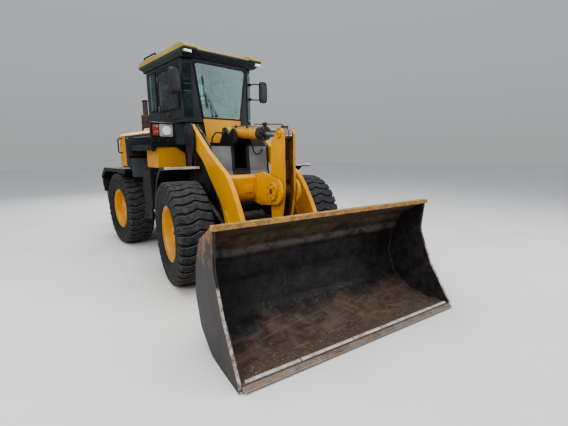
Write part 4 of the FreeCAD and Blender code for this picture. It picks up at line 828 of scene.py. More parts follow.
def wheel(name, side, front):
    y = -REACH if front else REACH
    c = Vector((side * TRACK, y, HUB))
    body = "wheel_" + name
    out = Vector((side, 0, 0))
    tyre = Piece("tyre_tread_" + name, front)
    # carcass: closed ring, distance outboard and radius
    half = [(0, 633), (80, 632), (150, 628), (186, 618), (203, 600), (212, 574), (219, 540), (221, 512), (222.2, 506), (222.2, 494),
            (220, 488), (216, 470), (212, 447), (211, 440), (213, 434), (213, 428), (208, 421), (204, 398), (199, 384), (196, 379), (193, 366), (170, 363)]
    ring = [(d, r) for d, r in half] + [(150, 322), (-150, 322)] + [(-d, r) for d, r in half[::-1][:-1]]
    tyre.lathe(c, out, ring, tyre_side, 120)
    # lugs: one strip across the tread and down each shoulder
    stations = [(-222.4, 545, 541), (-219.0, 572, 560), (-212.5, 602, 586), (-205, 631, 604), (-192, 645.5, 612), (-165, 648.5, 622),
                (-130, 651, 624), (-95, 652.5, 627), (-60, 654, 628), (-25, 655, 629), (10, 655, 629), (45, 654.4, 628),
                (80, 653.2, 628), (115, 651.8, 626), (150, 650, 623), (178, 647.5, 617), (196, 644.5, 610), (206.5, 630, 604), (213, 602, 586),
                (219.0, 572, 560), (222.4, 545, 541)]
    b = bmesh.new()
    inner = []
    for k in range(LUGS):
        base = 2 * math.pi * (k + (0.0 if side > 0 else 0.5)) / LUGS
        rows = []
        for d, rt, rb in stations:
            u = d / 205.0
            shoulder = max(0.0, abs(u) - 0.9)
            h = 47.5 - 5.0 * min(1.0, abs(u)) - 34.0 * min(0.5, shoulder) + 3.0 * math.cos(u * 9 + k)
            if abs(d) > 221:
                h *= 0.72
            w = wave(u, side)
            row = []
            for t, r in ((-h - 6, rb), (-h, rt - 7), (-h + 5.5, rt - 0.6), (-h * 0.33, rt), (h * 0.33, rt), (h - 5.5, rt - 0.6), (h, rt - 7), (h + 6, rb)):
                a = base + (w + t) / 655.0
                # angle measured so that at the front of the wheel a rising angle goes up
                yy, zz = -math.cos(a) * r, math.sin(a) * r
                row.append(b.verts.new(c + Vector((side * d, yy, zz))))
            rows.append(row)
        for p, q in zip(rows[:-1], rows[1:]):
            for j in range(7):
                f = b.faces.new((p[j], p[j + 1], q[j + 1], q[j]))
                # faces 1 and 5 are the chamfers: lighter rubber, a painted highlight along the lug edges
                f.material_index = 2 if j in (1, 5) else (3 if j in (0, 6) else 1)
        for row in (rows[0], rows[-1]):
            f = b.faces.new(row if row is rows[0] else row[::-1])
            f.material_index = 1
    bmesh.ops.recalc_face_normals(b, faces=b.faces)
    me = bpy.data.meshes.new("lugs")
    b.to_mesh(me)
    b.free()
    tyre.mats += [tyre_top, tyre_edge_highlight, tyre_groove]
    tyre.bm.from_mesh(me)
    bpy.data.meshes.remove(me)
    tyre.done(body, "tyre", 30, ("tyre_" + name,))

    rim = Piece("rim_disc_" + name, front)
    R, W = 360.0, 180.0
    prof = [(-W + 18, R - 52), (-W + 2, R - 44), (-W, R - 38), (-W, R - 4), (-W + 4, R), (-W + 10, R), (-W + 15, R - 8), (-W + 18, R - 37),
            (-W + 52, R - 51), (W - 60, R - 51), (W - 50, R - 47), (W - 44, R - 40), (W - 30, R - 37), (W - 18, R - 37), (W - 14, R - 6), (W - 10, R),
            (W - 4, R + 1), (W + 1, R - 3), (W + 1, R - 12), (W - 4, R - 20), (W - 7, R - 34), (W - 6, R - 44), (W - 12, R - 52), (W - 34, R - 60),
            (W - 62, R - 66), (66, R - 76), (50, R - 92), (42, R - 112), (34, 246), (35, 236), (48, 206), (60, 184), (66, 168), (70, 160), (100, 154),
            (110, 146), (112, 128), (104, 118), (104, 60), (112, 52), (118, 46), (118, 0), (8, 0), (8, 240), (14, R - 100), (-10, R - 66)]
    rim.lathe(c, out, prof[:-4] + [(8, 0.0)], yellow_rim, 96) if False else rim.lathe(c, out, [(118, 0)] + prof[:-5][::-1] + [(-10, R - 66), (14, R - 100), (8, 240), (8, 0)], yellow_rim, 96)
    for k in range(12):
        a = 2 * math.pi * k / 12 + 0.13
        n = Vector((0, math.cos(a), math.sin(a)))
        rim.hexagon(c + n * 203 + out * 50, out, 12.5, 16, bolt_steel)
    for k in range(8):
        a = 2 * math.pi * k / 8
        n = Vector((0, math.cos(a), math.sin(a)))
        rim.hexagon(c + n * 134 + out * 109, out, 7, 8, bolt_steel, stud=False)
    rim.hexagon(c + out * 117, out, 17, 9, bolt_steel, washer=True, stud=False)
    rim.rod(c + Vector((0, -284, 60)) + out * 72, c + Vector((0, -292, 62)) + out * 128, 6, trim_black, 8, 1)
    # lock ring split
    rim.ring(c + out * (W - 3), out, R - 30, 5.0, yellow_rim, 96, 8)
    rim.done(body, "rim", 32, ("rim_" + name,))


for wname, s, fr in (("front_left", 1, True), ("front_right", -1, True), ("rear_left", 1, False), ("rear_right", -1, False)):
    wheel(wname, s, fr)

# ------------------------------------------------------------------ cab details
trim = Piece("cab_trim")
GX = 647.0
for s in (1, -1):
    # rubber round the quarter window and along the roof's edge
    for out0, inn0 in (([(528, 2350, 34), (820, 2350, 34), (820, 2980, 54), (528, 2980, 54)], [(548, 2370, 22), (800, 2370, 22), (800, 2960, 42), (548, 2960, 42)]),):
        trim.frame(out0, inn0, "yz", *sorted((s * 647.5, s * 655)), seal)
    for z in (2270, 2420):
        trim.box(*sorted((s * 640, s * 652)), 830, 900, z, z + 8, trim_black, 1)
trim.frame([(-358, 2178, 24), (358, 2178, 24), (477, 2996, 44), (-477, 2996, 44)], [(-340, 2197, 16), (340, 2197, 16), (455, 2975, 34), (-455, 2975, 34)], "xz", -443, -437.5, seal)
trim.frame([(-548, 2202, 44), (548, 2202, 44), (548, 2988, 44), (-548, 2988, 44)], [(-522, 2228, 34), (522, 2228, 34), (522, 2962, 34), (-522, 2962, 34)], "xz", 942, 948, seal)
# wipers
for x0, x1 in ((-175, -318), (-110, -286)):
    trim.pipe([(x0, -452, 2226), (x0 + (x1 - x0) * 0.45, -460, 2390), (x1, -454, 2560)], 4, trim_black, 40, 8)
    trim.rod((x0, -428, 2222), (x0, -462, 2222), 14, trim_black)
trim.box(-310, -302, -456, -443, 2330, 2800, trim_black, 1.5, Matrix.Translation((-306, -450, 2560)) @ Matrix.Rotation(-0.13, 4, "Y") @ Matrix.Translation((306, 450, -2560)))
trim.rod((0, 936, 2990), (0, 962, 2990), 14, trim_black)
trim.pipe([(0, 958, 2990), (40, 962, 2800), (120, 956, 2560)], 6, trim_black, 40, 8)
# rain gutter under the roof
for s in (1, -1):
    trim.box(*sorted((s * 641, s * 652)), -320, 930, 3032, 3046, cab_grey, 2)
trim.done("rear_half", "black_frame")

for side, s in (("left", 1), ("right", -1)):
    d = Piece("door_trim_" + side)
    d.frame([(-274, 2321, 40), (449, 2321, 40), (449, 2949, 56), (-274, 2949, 56)], [(-250, 2345, 26), (425, 2345, 26), (425, 2925, 44), (-250, 2925, 44)],
            "yz", *sorted((s * 647.5, s * 654)), seal)
    # handle in its dished plate, lock, hinge knuckles
    d.box(*sorted((s * 640, s * 646)), 60, 190, 2218, 2290, trim_black, 5)
    d.pipe([(s * 644, 78, 2254), (s * 668, 84, 2254), (s * 670, 150, 2254), (s * 644, 170, 2254)], 7, trim_black, 14, 10)
    d.rod((s * 644, 74, 2254), (s * 651, 74, 2254), 9, bolt_steel, 14)
    for z in (1960, 2380, 2840):
        d.rod((s * 648, 468, z - 42), (s * 648, 468, z + 42), 10, bolt_steel, 14)
        d.box(*sorted((s * 640, s * 648)), 405, 466, z - 36, z + 36, cab_grey, 3)
        for zz in (z - 20, z + 20):
            d.hexagon((s * 648, 426, zz), (s, 0, 0), 7, 5, bolt_steel, stud=False)
    # pressed rib in the lower panel
    d.frame([(70, 1890, 30), (420, 1890, 30), (420, 2180, 30), (70, 2180, 30)], [(84, 1904, 18), (406, 1904, 18), (406, 2166, 18), (84, 2166, 18)],
            "yz", *sorted((s * 639, s * 643)), cab_grey, 1.2)
    d.done("door_" + side, "grey_paint")

# interior: steering wheel, dash, levers, pedals
FL = 1830.0
con = Piece("controls")
con.prism([(-250, FL), (-140, FL), (-90, FL + 560, 30), (-180, FL + 600, 30)], "yz", -60, 60, trim_grey, 8)
con.rod((0, -140, FL + 540), (0, -46, FL + 712), 22, trim_black)
tilt = Vector((0, 0.42, 0.907)).normalized()
hubc = Vector((0, -43, FL + 722))
con.ring(hubc + tilt * 2, (0, 0.12, 1), 190, 14, trim_black, 48, 12)
for a in (math.radians(90), math.radians(210), math.radians(330)):
    p = hubc + Vector((math.cos(a) * 186, math.sin(a) * 186, -math.sin(a) * 186 * 0.12 + 2))
    con.rod(hubc, p, 9, trim_black, 10)
con.lathe(hubc + Vector((0, 0, -12)), (0, 0.12, 1), [(0, 0), (0, 44), (14, 48), (24, 40), (28, 20), (28, 0)], trim_black, 28)
con.lathe(hubc + Vector((120, 140, 10)), (0, 0.12, 1), [(0, 0), (0, 10), (22, 9), (30, 20), (48, 22), (58, 12), (60, 0)], trim_black, 16)
con.prism([(-370, FL + 380, 20), (-190, FL + 380, 30), (-130, FL + 560, 26), (-200, FL + 598, 20), (-370, FL + 600, 20)], "yz", -230, 230, trim_grey, 8)
for x, r in ((-120, 44), (0, 52), (120, 44)):
    con.lathe((x, -160, FL + 583), (0, 0.5, 0.86), [(0, 0), (0, r), (8, r), (9, r - 6), (5, r - 8), (5, 0)], trim_black, 32)
    con.lathe((x, -160, FL + 583), (0, 0.5, 0.86), [(4, 0), (4, r - 9), (6, r - 9), (6, 0)], pale_lens, 32)
for k in range(5):
    con.box(-200 + k * 26, -182 + k * 26, -172, -160, FL + 520, FL + 544, trim_black, 2)
for x in (-120, 120):
    con.box(x - 40, x + 40, -60, 70, FL + 6, FL + 14, trim_black, 3, Matrix.Translation((0, 0, FL)) @ Matrix.Rotation(0.0, 4, "X") @ Matrix.Translation((0, 0, -FL)))
    con.box(x - 34, x + 34, -110, -60, FL + 20, FL + 110, trim_black, 4)
for k, x in enumerate((-392, -352)):
    con.pipe([(x, 250, FL + 400), (x, 250, FL + 520), (x + 8, 230, FL + 640)], 8, bolt_steel, 40, 8)
    con.lathe((x + 8, 228, FL + 632), (0.05, -0.15, 1), [(0, 0), (0, 14), (20, 22), (44, 22), (58, 14), (62, 0)], trim_black, 16)
con.box(-440, -330, 160, 560, FL, FL + 420, trim_grey, 18)
con.done("rear_half", "black_frame", 35, ("console",))

# ------------------------------------------------------------------------- seat


def cushion(name, lo, hi, lean=0.0, pivot=None, pinch=0.05, sim=True, channels=()):
    """A crowned pad inside a box: sides drawn in between the corners, then puffed up as cloth."""
    b = bmesh.new()
    nx, ny, nz = 14, 14, 5
    sx, sy, sz = hi[0] - lo[0], hi[1] - lo[1], hi[2] - lo[2]
    bmesh.ops.create_cube(b, size=2.0)
    bmesh.ops.subdivide_edges(b, edges=b.edges[:], cuts=9, use_grid_fill=True)
    for v in b.verts:
        x, y, z = v.co
        # rounded block with crowned faces
        k = 5.0
        norm = (abs(x) ** k + abs(y) ** k + abs(z) ** k) ** (1 / k)
        x, y, z = x / norm, y / norm, z / norm
        draw = 1.0 - pinch * (1 - abs(x) ** 2) * (abs(y) ** 3) - pinch * (1 - abs(y) ** 2) * (abs(x) ** 3)
        v.co = Vector((lo[0] + (x * draw * 0.5 + 0.5) * sx, lo[1] + (y * draw * 0.5 + 0.5) * sy, lo[2] + (z * 0.5 + 0.5) * sz))
    if lean:
        bmesh.ops.rotate(b, verts=b.verts, cent=pivot, matrix=Matrix.Rotation(lean, 3, "X"))
    me = bpy.data.meshes.new(name)
    bmesh.ops.recalc_face_normals(b, faces=b.faces)
    b.to_mesh(me)
    b.free()
    me.transform(M_REAR)
    for p in me.polygons:
        p.use_smooth = True
    ob = bpy.data.objects.new(name, me)
    scene.collection.objects.link(ob)
    me.materials.append(seat_cloth)
    if sim:
        # even small faces, then cloth under pressure with its movement capped
        rm = ob.modifiers.new("voxels", "REMESH")
        rm.mode = "VOXEL"
        rm.voxel_size = 0.0075
        rm.use_smooth_shade = True
        fine = bpy.data.meshes.new_from_object(ob.evaluated_get(bpy.context.evaluated_depsgraph_get()))
        ob.modifiers.remove(rm)
        ob.data = me = fine
        if not me.materials:
            me.materials.append(seat_cloth)
        rest = [v.co.copy() for v in me.vertices]
        c = ob.modifiers.new("cloth", "CLOTH")
        c.settings.quality = 4
        c.settings.use_pressure = True
        c.settings.uniform_pressure_force = 4.0
        c.settings.effector_weights.gravity = 0
        c.settings.tension_stiffness = 20
        c.settings.compression_stiffness = 20
        c.settings.bending_stiffness = 1.0
        for f in range(1, 21):
            scene.frame_set(f)
        dg = bpy.context.evaluated_depsgraph_get()
        got = [v.co.copy() for v in ob.evaluated_get(dg).data.vertices]
        ob.modifiers.remove(c)
        scene.frame_set(1)
        cap = 0.012
        for v, a, q in zip(me.vertices, rest, got):
            d = q - a
            if d.length > cap:
                d = d.normalized() * cap
            v.co = a + d
        me.update()
    # stitched channels and piping seams
    back_to = M_REAR.inverted()
    unlean = Matrix.Translation(pivot) @ Matrix.Rotation(-lean, 4, "X") @ Matrix.Translation(-pivot) if lean else Matrix.Identity(4)
    moved = []
    for v in me.vertices:
        q = unlean @ (back_to @ v.co)
        deep = max([depth * math.exp(-((q[axis_i] - place) / width) ** 2) for axis_i, place, depth, width in channels] or [0.0])
        moved.append(v.co - v.normal * (deep / 1000))
    for v, q in zip(me.vertices, moved):
        v.co = q
    me.update()
    sub = ob.modifiers.new("subdivision", "SUBSURF")
    sub.levels = sub.render_levels = 1
    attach(ob, "rear_half")
    return ob


pan = cushion("seat_cushion", (-242, 176, FL + 312), (242, 628, FL + 408), pinch=0.05, channels=((0, -118, 9, 13), (0, 118, 9, 13), (1, 470, 7, 12)))
lean = math.atan2(-110, 580)
back = cushion("seat_backrest", (-232, 568, FL + 398), (232, 640, FL + 950), lean=lean * -1 * -1, pivot=Vector((0, 600, FL + 398)), pinch=0.05,
               channels=((0, -118, 9, 13), (0, 118, 9, 13), (2, FL + 620, 7, 12)))
head = cushion("seat_headrest", (-120, 690, FL + 958), (120, 742, FL + 1072), pinch=0.04, sim=False)
st = Piece("seat_frame")
st.box(-200, 200, 262, 558, FL + 2, FL + 60, trim_black, 8)
for k in range(5):
    st.frame([(-180, 275, 20), (180, 275, 20), (180, 545, 20), (-180, 545, 20)], [(-160, 295, 10), (160, 295, 10), (160, 525, 10), (-160, 525, 10)], "xy", FL + 66 + k * 44, FL + 92 + k * 44, trim_black, 5)
st.box(-236, 236, 190, 620, FL + 286, FL + 322, trim_black, 10)
st.prism([(618, FL + 340, 12), (664, FL + 380, 12), (764, FL + 950, 30), (738, FL + 950, 20)], "yz", -205, 205, trim_black, 8)
for s in (1, -1):
    st.rod((s * 60, 722, FL + 900), (s * 60, 716, FL + 990), 6, chrome, 10)
    st.box(*sorted((s * 252, s * 318)), 246, 636, FL + 566, FL + 612, trim_black, 16)
    st.box(*sorted((s * 256, s * 296)), 572, 632, FL + 404, FL + 570, trim_black, 8)
st.done("rear_half", "seat_fabric", 35, ("seat",))

# ---------------------------------------------------------------- lamps, mirrors
lamp = Piece("head_lamp_set")
for s in (1, -1):
    x0, x1 = sorted((s * 652, s * 1016))
    # open-fronted box with a bright rim
    lamp.box(x0, x1, -26, 20, 1883, 2126, black, 10)
    lamp.frame([(x0, 1883, 22), (x1, 1883, 22), (x1, 2126, 22), (x0, 2126, 22)], [(x0 + 14, 1897, 12), (x1 - 14, 1897, 12), (x1 - 14, 2112, 12), (x0 + 14, 2112, 12)],
               "xz", -40, -20, black, 2)
    lamp.box(x0 + 16, x1 - 16, -40.5, -30, 2118, 2125, worn_strip, 1.2)
    cx = s * 768
    lamp.prism([(cx - 112, 1912, 18), (cx + 104, 1912, 18), (cx + 104, 2098, 18), (cx - 112, 2098, 18)], "xz", -33, -22, lamp_bezel, 3)
    lamp.lathe((cx, -24, 2005), (0, -1, 0), [(-2, 80), (8, 82), (14, 79), (15, 74), (10, 69), (2, 67), (-2, 69)], dull_chrome, 40)
    lamp.lathe((cx, -24, 2005), (0, -1, 0), [(-1, 0), (0, 25), (3, 58), (8, 69), (9, 69), (13, 50), (15.5, 23), (16, 0)], pale_lens, 40)
    cx = s * 940
    lamp.prism([(cx - 54, 1915, 14), (cx + 54, 1915, 14), (cx + 54, 2095, 14), (cx - 54, 2095, 14)], "xz", -36, -22, trim_black, 3)
    lamp.prism([(cx - 42, 2006, 12), (cx + 42, 2006, 12), (cx + 42, 2082, 12), (cx - 42, 2082, 12)], "xz", -39.5, -30, dark_lens, 4)
    lamp.prism([(cx - 42, 1928, 12), (cx + 42, 1928, 12), (cx + 42, 2000, 12), (cx - 42, 2000, 12)], "xz", -39.5, -30, dark_lens, 4)
    # tail lamps
    x0, x1 = sorted((s * 702, s * 858))
    lamp.box(x0, x1, 2942, 2990, 1253, 1328, black, 5)
    lamp.box(x0 + 4, (x0 + x1) / 2 - 2, 2984, 3006, 1258, 1323, red_lens, 6)
    lamp.box((x0 + x1) / 2 + 2, x1 - 4, 2984, 3006, 1258, 1323, amber_lens, 6)
    # work lamps under the front of the roof and at its back
    for xx in (s * 625,):
        lamp.box(xx - 62, xx + 62, -586, -540, 3056, 3096, dull_chrome, 8)
        lamp.box(xx - 54, xx + 54, -592, -580, 3062, 3092, pale_lens, 5)
    lamp.box(s * 560 - 62, s * 560 + 62, 1060, 1106, 3040, 3100, trim_black, 8)
    lamp.box(s * 560 - 54, s * 560 + 54, 1100, 1112, 3046, 3094, pale_lens, 5)
lamp.done("rear_half", "lamp_plastic", 35, ("lamps",))

mir = Piece("mirror_set")
for s in (1, -1):
    mir.pipe([(s * 645, -342, 2800), (s * 700, -404, 2812), (s * 792, -492, 2800)], 10, trim_black, 50, 10)
    mir.pipe([(s * 645, -342, 2560), (s * 700, -404, 2548), (s * 792, -492, 2560)], 10, trim_black, 50, 10)
    for z in (2560, 2800):
        mir.box(*sorted((s * 632, s * 652)), -356, -326, z - 22, z + 22, trim_black, 4)
    cx, cz = s * 804, 2672.5
    b = bmesh.new()
    rings = []
    for d, k in ((-520, 0.0), (-520, 0.62), (-514, 0.86), (-500, 0.97), (-482, 1.0), (-472, 0.985), (-470, 0.93), (-474, 0.92), (-474, 0.0)):
        if k == 0:
            rings.append([b.verts.new((cx, d, cz))])
        else:
            row = []
            for j in range(40):
                a = 2 * math.pi * j / 40
                ca, sa = math.cos(a), math.sin(a)
                e = 0.42
                row.append(b.verts.new((cx + 82 * k * abs(ca) ** e * (1 if ca > 0 else -1), d, cz + 177 * k * abs(sa) ** e * (1 if sa > 0 else -1))))
            rings.append(row)
    for p, q in zip(rings[:-1], rings[1:]):
        for j in range(40):
            j2 = (j + 1) % 40
            if len(p) == 1:
                b.faces.new((p[0], q[j], q[j2]))
            elif len(q) == 1:
                b.faces.new((p[j], q[0], p[j2]))
            else:
                b.faces.new((p[j], q[j], q[j2], p[j2]))
    mir.emit(b, mirror_back)
    mir.prism([(cx - 72, cz - 166, 26), (cx + 72, cz - 166, 26), (cx + 72, cz + 166, 26), (cx - 72, cz + 166, 26)], "xz", -475, -471.5, mirror_face, 0.6)
mir.done("rear_half", "black_frame", 35, ("mirrors",))

# ------------------------------------------------------------------ hood details
hd = Piece("hood_trim")
for s in (1, -1):
    hd.bead([(s * 612, 972, 2018), (s * 612, 2786, 2018)], 3, black, 3)
    for y in (1010 - 24, 2400 + 10):
        for z in (1480, 1900):
            hd.hexagon((s * 610, y, z), (s, 0, 0), 9, 6, bolt_steel, stud=False)
    # rain lip over the doors
    hd.box(*sorted((s * 608, s * 622)), 1004, 2386, 1980, 1990, black, 2)
    # rear corner reflectors and clamp of the hood
    hd.box(*sorted((s * 609, s * 614)), 2500, 2560, 1500, 1540, red_lens, 1)
    for z in (1560, 1860):
        hd.rod((s * 611, 2705, z - 18), (s * 611, 2705, z + 18), 7, bolt_steel)
# crown: filler lid, intake cap and seams
hd.lathe((230, 1300, 2165), (0, 0, 1), [(-4, 0), (-4, 70), (16, 70), (26, 60), (30, 24), (34, 20), (34, 0)], black, 32, 0)
hd.lathe((-180, 1420, 2165), (0, 0, 1), [(-4, 0), (-4, 52), (54, 52), (54, 92), (66, 104), (120, 104), (140, 84), (146, 40), (146, 0)], stack_paint, 40)
for y in (1240, 1700):
    hd.box(-330, 330, y, y + 5, 2164, 2168, black, 1)
for k in range(9):
    hd.box(-260 + 8, 260, 2010 + k * 30, 2024 + k * 30, 2089, 2094, black, 2) if k < 2 else None
# exhaust: clamp rings, slotted shield and a hinged rain cap
for z in (2118, 2440):
    hd.ring((-230, 2150, z), (0, 0, 1), 92, 5, bolt_steel, 40, 8)
for k in range(14):
    a = 2 * math.pi * k / 14
    for z in (2190, 2300):
        n = Vector((math.cos(a), math.sin(a), 0))
        t = Matrix.Translation(Vector((-230, 2150, z)) + n * 92) @ Matrix.Rotation(a, 4, "Z")
        hd.box(-1.5, 1.5, -9, 9, -34, 34, black, 0.8, t)
hd.ring((-230, 2150, 2700), (0, 0, 1), 51, 4, bolt_steel, 32, 8)
cap = Matrix.Translation((-230, 2196, 2722)) @ Matrix.Rotation(math.radians(-14), 4, "X")
hd.shape([cap @ Vector((62 * math.cos(2 * math.pi * k / 28), -46 + 62 * math.sin(2 * math.pi * k / 28), z)) for z in (0, 5) for k in range(28)],
         [tuple(range(27, -1, -1)), tuple(range(28, 56))] + [(k, (k + 1) % 28, 28 + (k + 1) % 28, 28 + k) for k in range(28)], stack_paint, 1)
hd.rod((-262, 2200, 2722), (-198, 2200, 2722), 6, bolt_steel, 10)
hd.done("rear_half", "yellow_paint")

for side, s in (("left", 1), ("right", -1)):
    p = Piece("louvre_trim_" + side)
    for ya, yb, za, rows in ((1110.0, 1640.0, 1520.0, 7), (1740.0, 2270.0, 1520.0, 7)):
        for i in range(rows):
            z = za + i * 56
            # a pressed hood over each slot
            xs = [s * 610, s * 624, s * 610]
            v = [(s * 609, ya - 8, z + 34), (s * 621, ya - 2, z + 8), (s * 609, ya - 8, z + 6), (s * 609, yb + 8, z + 34), (s * 621, yb + 2, z + 8), (s * 609, yb + 8, z + 6)]
            p.shape(v, [(0, 1, 2), (5, 4, 3), (0, 3, 4, 1), (1, 4, 5, 2), (2, 5, 3, 0)], black_clean, 1.5)
    for y in (1060, 1690, 2325):
        p.box(*sorted((s * 609, s * 616)), y - 22, y + 22, 1475 - 30, 1475 + 12, trim_black, 3)
        p.rod((s * 612, y, 1464), (s * 622, y, 1464), 9, bolt_steel, 14)
    p.frame([(1022, 1437, 20), (2368, 1437, 20), (2368, 1963, 20), (1022, 1963, 20)], [(1040, 1455, 12), (2350, 1455, 12), (2350, 1945, 12), (1040, 1945, 12)],
            "yz", *sorted((s * 608, s * 613)), black_clean, 1.5)
    for z in (1500, 1900):
        p.rod((s * 616, 1008, z - 30), (s * 616, 1008, z + 30), 6, bolt_steel, 10)
    p.done("hood_door_" + side, "black_frame")

gr = Piece("grille_mesh")
for i in range(11):
    z = 1340 + i * 60 + 17
    gr.rod((-512, 2806, z), (512, 2806, z), 3, black, 6, 0)
for k in range(26):
    x = -500 + k * 40
    gr.rod((x, 2802, 1320), (x, 2802, 1980), 2.5, black, 6, 0)
for x in (-535, 535):
    for z in (1330, 1640, 1950):
        gr.hexagon((x, 2830, z), (0, 1, 0), 10, 6, bolt_steel, stud=False)
gr.box(-40, 40, 2829, 2838, 1300, 1322, trim_black, 3)
gr.done("grille", "black_frame")

# ------------------------------------------- counterweight, fenders, steps, decks
cw = Piece("tail_trim")
for s in (1, -1):
    for x in (420, 760):
        cw.rod((s * x, 2700, 1246), (s * x, 2700, 1256), 34, weight_paint, 24, 2)
        cw.hexagon((s * x, 2700, 1254), (0, 0, 1), 22, 16, bolt_steel)
    cw.box(*sorted((s * 770, s * 870)), 3246, 3256, 1010, 1050, red_lens, 2)
    cw.box(*sorted((s * 897, s * 904)), 2700, 2780, 1120, 1150, amber_lens, 2)
    # lifting eyes
    cw.pipe([(s * 600, 2880, 1240), (s * 600, 2880, 1296), (s * 660, 2880, 1296), (s * 660, 2880, 1240)], 12, weight_paint, 26, 10)
cw.rod((0, 3060, 640), (0, 3060, 900), 24.0, pin_steel, 20, 4)
cw.rod((0, 3060, 836), (0, 3060, 848), 40, pin_steel, 24, 3)
cw.pipe([(0, 3060, 890), (0, 3075, 912), (0, 3110, 905), (10, 3120, 870)], 4, bolt_steel, 14, 8)
cw.done("rear_half", "black_frame")

fd = Piece("fender_trim")
for s in (1, -1):
    # rubber flap behind the rear wheel, bolts of the fender
    fd.prism([(s * 680, 905, 20), (s * 1100, 905, 20), (s * 1105, 1180), (s * 675, 1180)], "xz", 2402, 2410, seal, 1.5)
    for k in range(5):
        fd.hexagon((s * (720 + k * 85), 2401, 1192), (0, 1, 0), 8, 6, bolt_steel, stud=False)
    for y in (1040, 1300, 1560, 1820, 2080):
        fd.hexagon((s * 1060, y, 1395), (0, 0, 1), 8, 5, bolt_steel, stud=False)
    # the shield in front of the rear wheel: a groove splits it, a lighter plate below
    x0, x1 = sorted((s * 644, s * 1054))
    fd.box(x0, x1, 893, 899, 1618, 1916, shield_dark, 3)
    fd.box(x0 + 8, x1 - 8, 886, 892, 1600, 1607, black, 2)
    x0, x1 = sorted((s * 700, s * 1036))
    fd.prism([(x0 - (0 if s > 0 else -26), 1250, 20), (x1 - (26 if s > 0 else 0), 1250, 20), (x1, 1580, 20), (x0 - 30 * (s > 0), 1580, 20)] if s > 0 else
             [(x0 + 26, 1250, 20), (x1, 1250, 20), (x1 + 30, 1580, 20), (x0, 1580, 20)], "xz", 884, 891, shield_grey, 2.5)
    for x in (700, 1000):
        for z in (1640, 1895):
            fd.hexagon((s * x, 893, z), (0, -1, 0), 8, 5, bolt_steel, stud=False)
fd.done("rear_half", "grey_paint")

ff = Piece("front_fender_trim", True)
for s in (1, -1):
    # a bright strip along the front edge, bolts along the top
    for k in range(5):
        ff.hexagon((s * (710 + k * 90), -1330, 1481), (0, 0, 1), 8, 5, bolt_steel, stud=False)
    for k in range(4):
        ff.hexagon((s * (480 + (k % 2) * 40), -738, 1001 if k < 2 else 841 - 0), (0, 0, 1), 7, 5, bolt_steel, stud=False)
    ff.box(*sorted((s * 664, s * 1108)), -1404, -1399, 1452, 1484, worn_strip, 1.5)
ff.done("front_half", "black_frame")

sp = Piece("step_treads")
for z, y in ((600.0, 215.0), (880.0, 225.0), (1150.0, 235.0)):
    for k in range(9):
        yy = y + 12 + k * (545 - y - 24) / 8
        sp.box(716, 998, yy - 4, yy + 4, z + 25, z + 33, black, 1.2)
        for j in range(9):
            sp.box(724 + j * 31, 730 + j * 31, yy - 4, yy + 4, z + 32, z + 37, black, 0.8)
for k in range(9):
    yy = 230 + k * 37
    sp.box(-1000, -712, yy - 4, yy + 4, 625, 633, black, 1.2)
# battery box: lid, straps, hinge, latch
sp.box(-986, -474, 196, 566, 1392, 1410, black, 5)
for x in (-880, -580):
    sp.box(x - 16, x + 16, 194, 200, 1300, 1400, black, 3)
    sp.rod((x, 190, 1340), (x, 199, 1340), 12, bolt_steel, 14)
sp.frame([(-960, 790, 20), (-500, 790, 20), (-500, 1290, 20), (-960, 1290, 20)], [(-942, 808, 12), (-518, 808, 12), (-518, 1272, 12), (-942, 1272, 12)], "xz", 194, 201, black, 2)
sp.frame([(230, 790, 20), (530, 790, 20), (530, 1370, 20), (230, 1370, 20)], [(248, 808, 12), (512, 808, 12), (512, 1352, 12), (248, 1352, 12)], "yz", -984, -979, black, 2)
sp.done("rear_half", "black_frame")

dk = Piece("deck_plates")
for s in (1, -1):
    dk.box(*sorted((s * 660, s * 1020)), 96, 870, 1783, 1787, tread_plate, 1.5)
    for y in (130, 480, 840):
        for x in (690, 990):
            dk.hexagon((s * x, y, 1786), (0, 0, 1), 8, 5, bolt_steel, stud=False)
    # filler cap and drain of the tank, strap bolts on the arch
    dk.lathe((s * 700, 240, 1764), (0, 0, 1), [(-2, 0), (-2, 44), (4, 44), (4, 40), (5, 40), (5, 0)], black, 24)
    for x, z in ((998, 1715), (990, 1850), (560, 1776), (760, 1850), (900, 1850)):
        dk.hexagon((s * x, -40, z), (0, -1, 0), 8, 6, bolt_steel, stud=False)
    dk.bead([(s * 450, -15, 1440), (s * 450, -15, 1600)], 4, yellow_tank, 8)
dk.done("rear_half", "black_frame")

# ----------------------------------------------------------- underbody, drive line
ub = Piece("drive_line")
ub.rod((0, 60, 640), (0, 1210, 655), 38, cast, 20, 3)
for y in (70, 1190):
    ub.lathe((0, y, 641 + y * 0.012), (0, 1, 0), [(-26, 0), (-26, 66), (-8, 70), (8, 70), (26, 66), (26, 0)], cast, 24)
for k in range(6):
    a = math.pi * k / 3
    ub.hexagon((56 * math.cos(a), 1222, 655 + 56 * math.sin(a)), (0, 1, 0), 8, 8, bolt_steel)
ub.box(-210, 210, 470, 640, 700, 980, engine_grey, 20)
ub.lathe((0, 640, 800), (0, 1, 0), [(0, 0), (0, 190), (240, 200), (420, 250), (556, 250), (556, 0)], engine_grey, 40, 3)
for s in (1, -1):
    # leaf of bolts on the axle seats
    for y in (REACH - 120, REACH + 120):
        ub.hexagon((s * 345, y, 530), (0, 0, -1), 15, 14, bolt_steel)
    ub.lathe((s * 560, REACH, HUB), (s, 0, 0), [(0, 100), (0, 146), (16, 150), (34, 150), (36, 100)], cast, 36)
    for k in range(12):
        a = math.pi * k / 6
        ub.hexagon((s * 596, REACH + 136 * math.cos(a), HUB + 136 * math.sin(a)), (s, 0, 0), 8, 8, bolt_steel, washer=False)
ub.lathe((0, REACH - 196, HUB), (0, -1, 0), [(-70, 150), (0, 128), (30, 78), (60, 70), (60, 0), (-70, 0)], cast, 36)
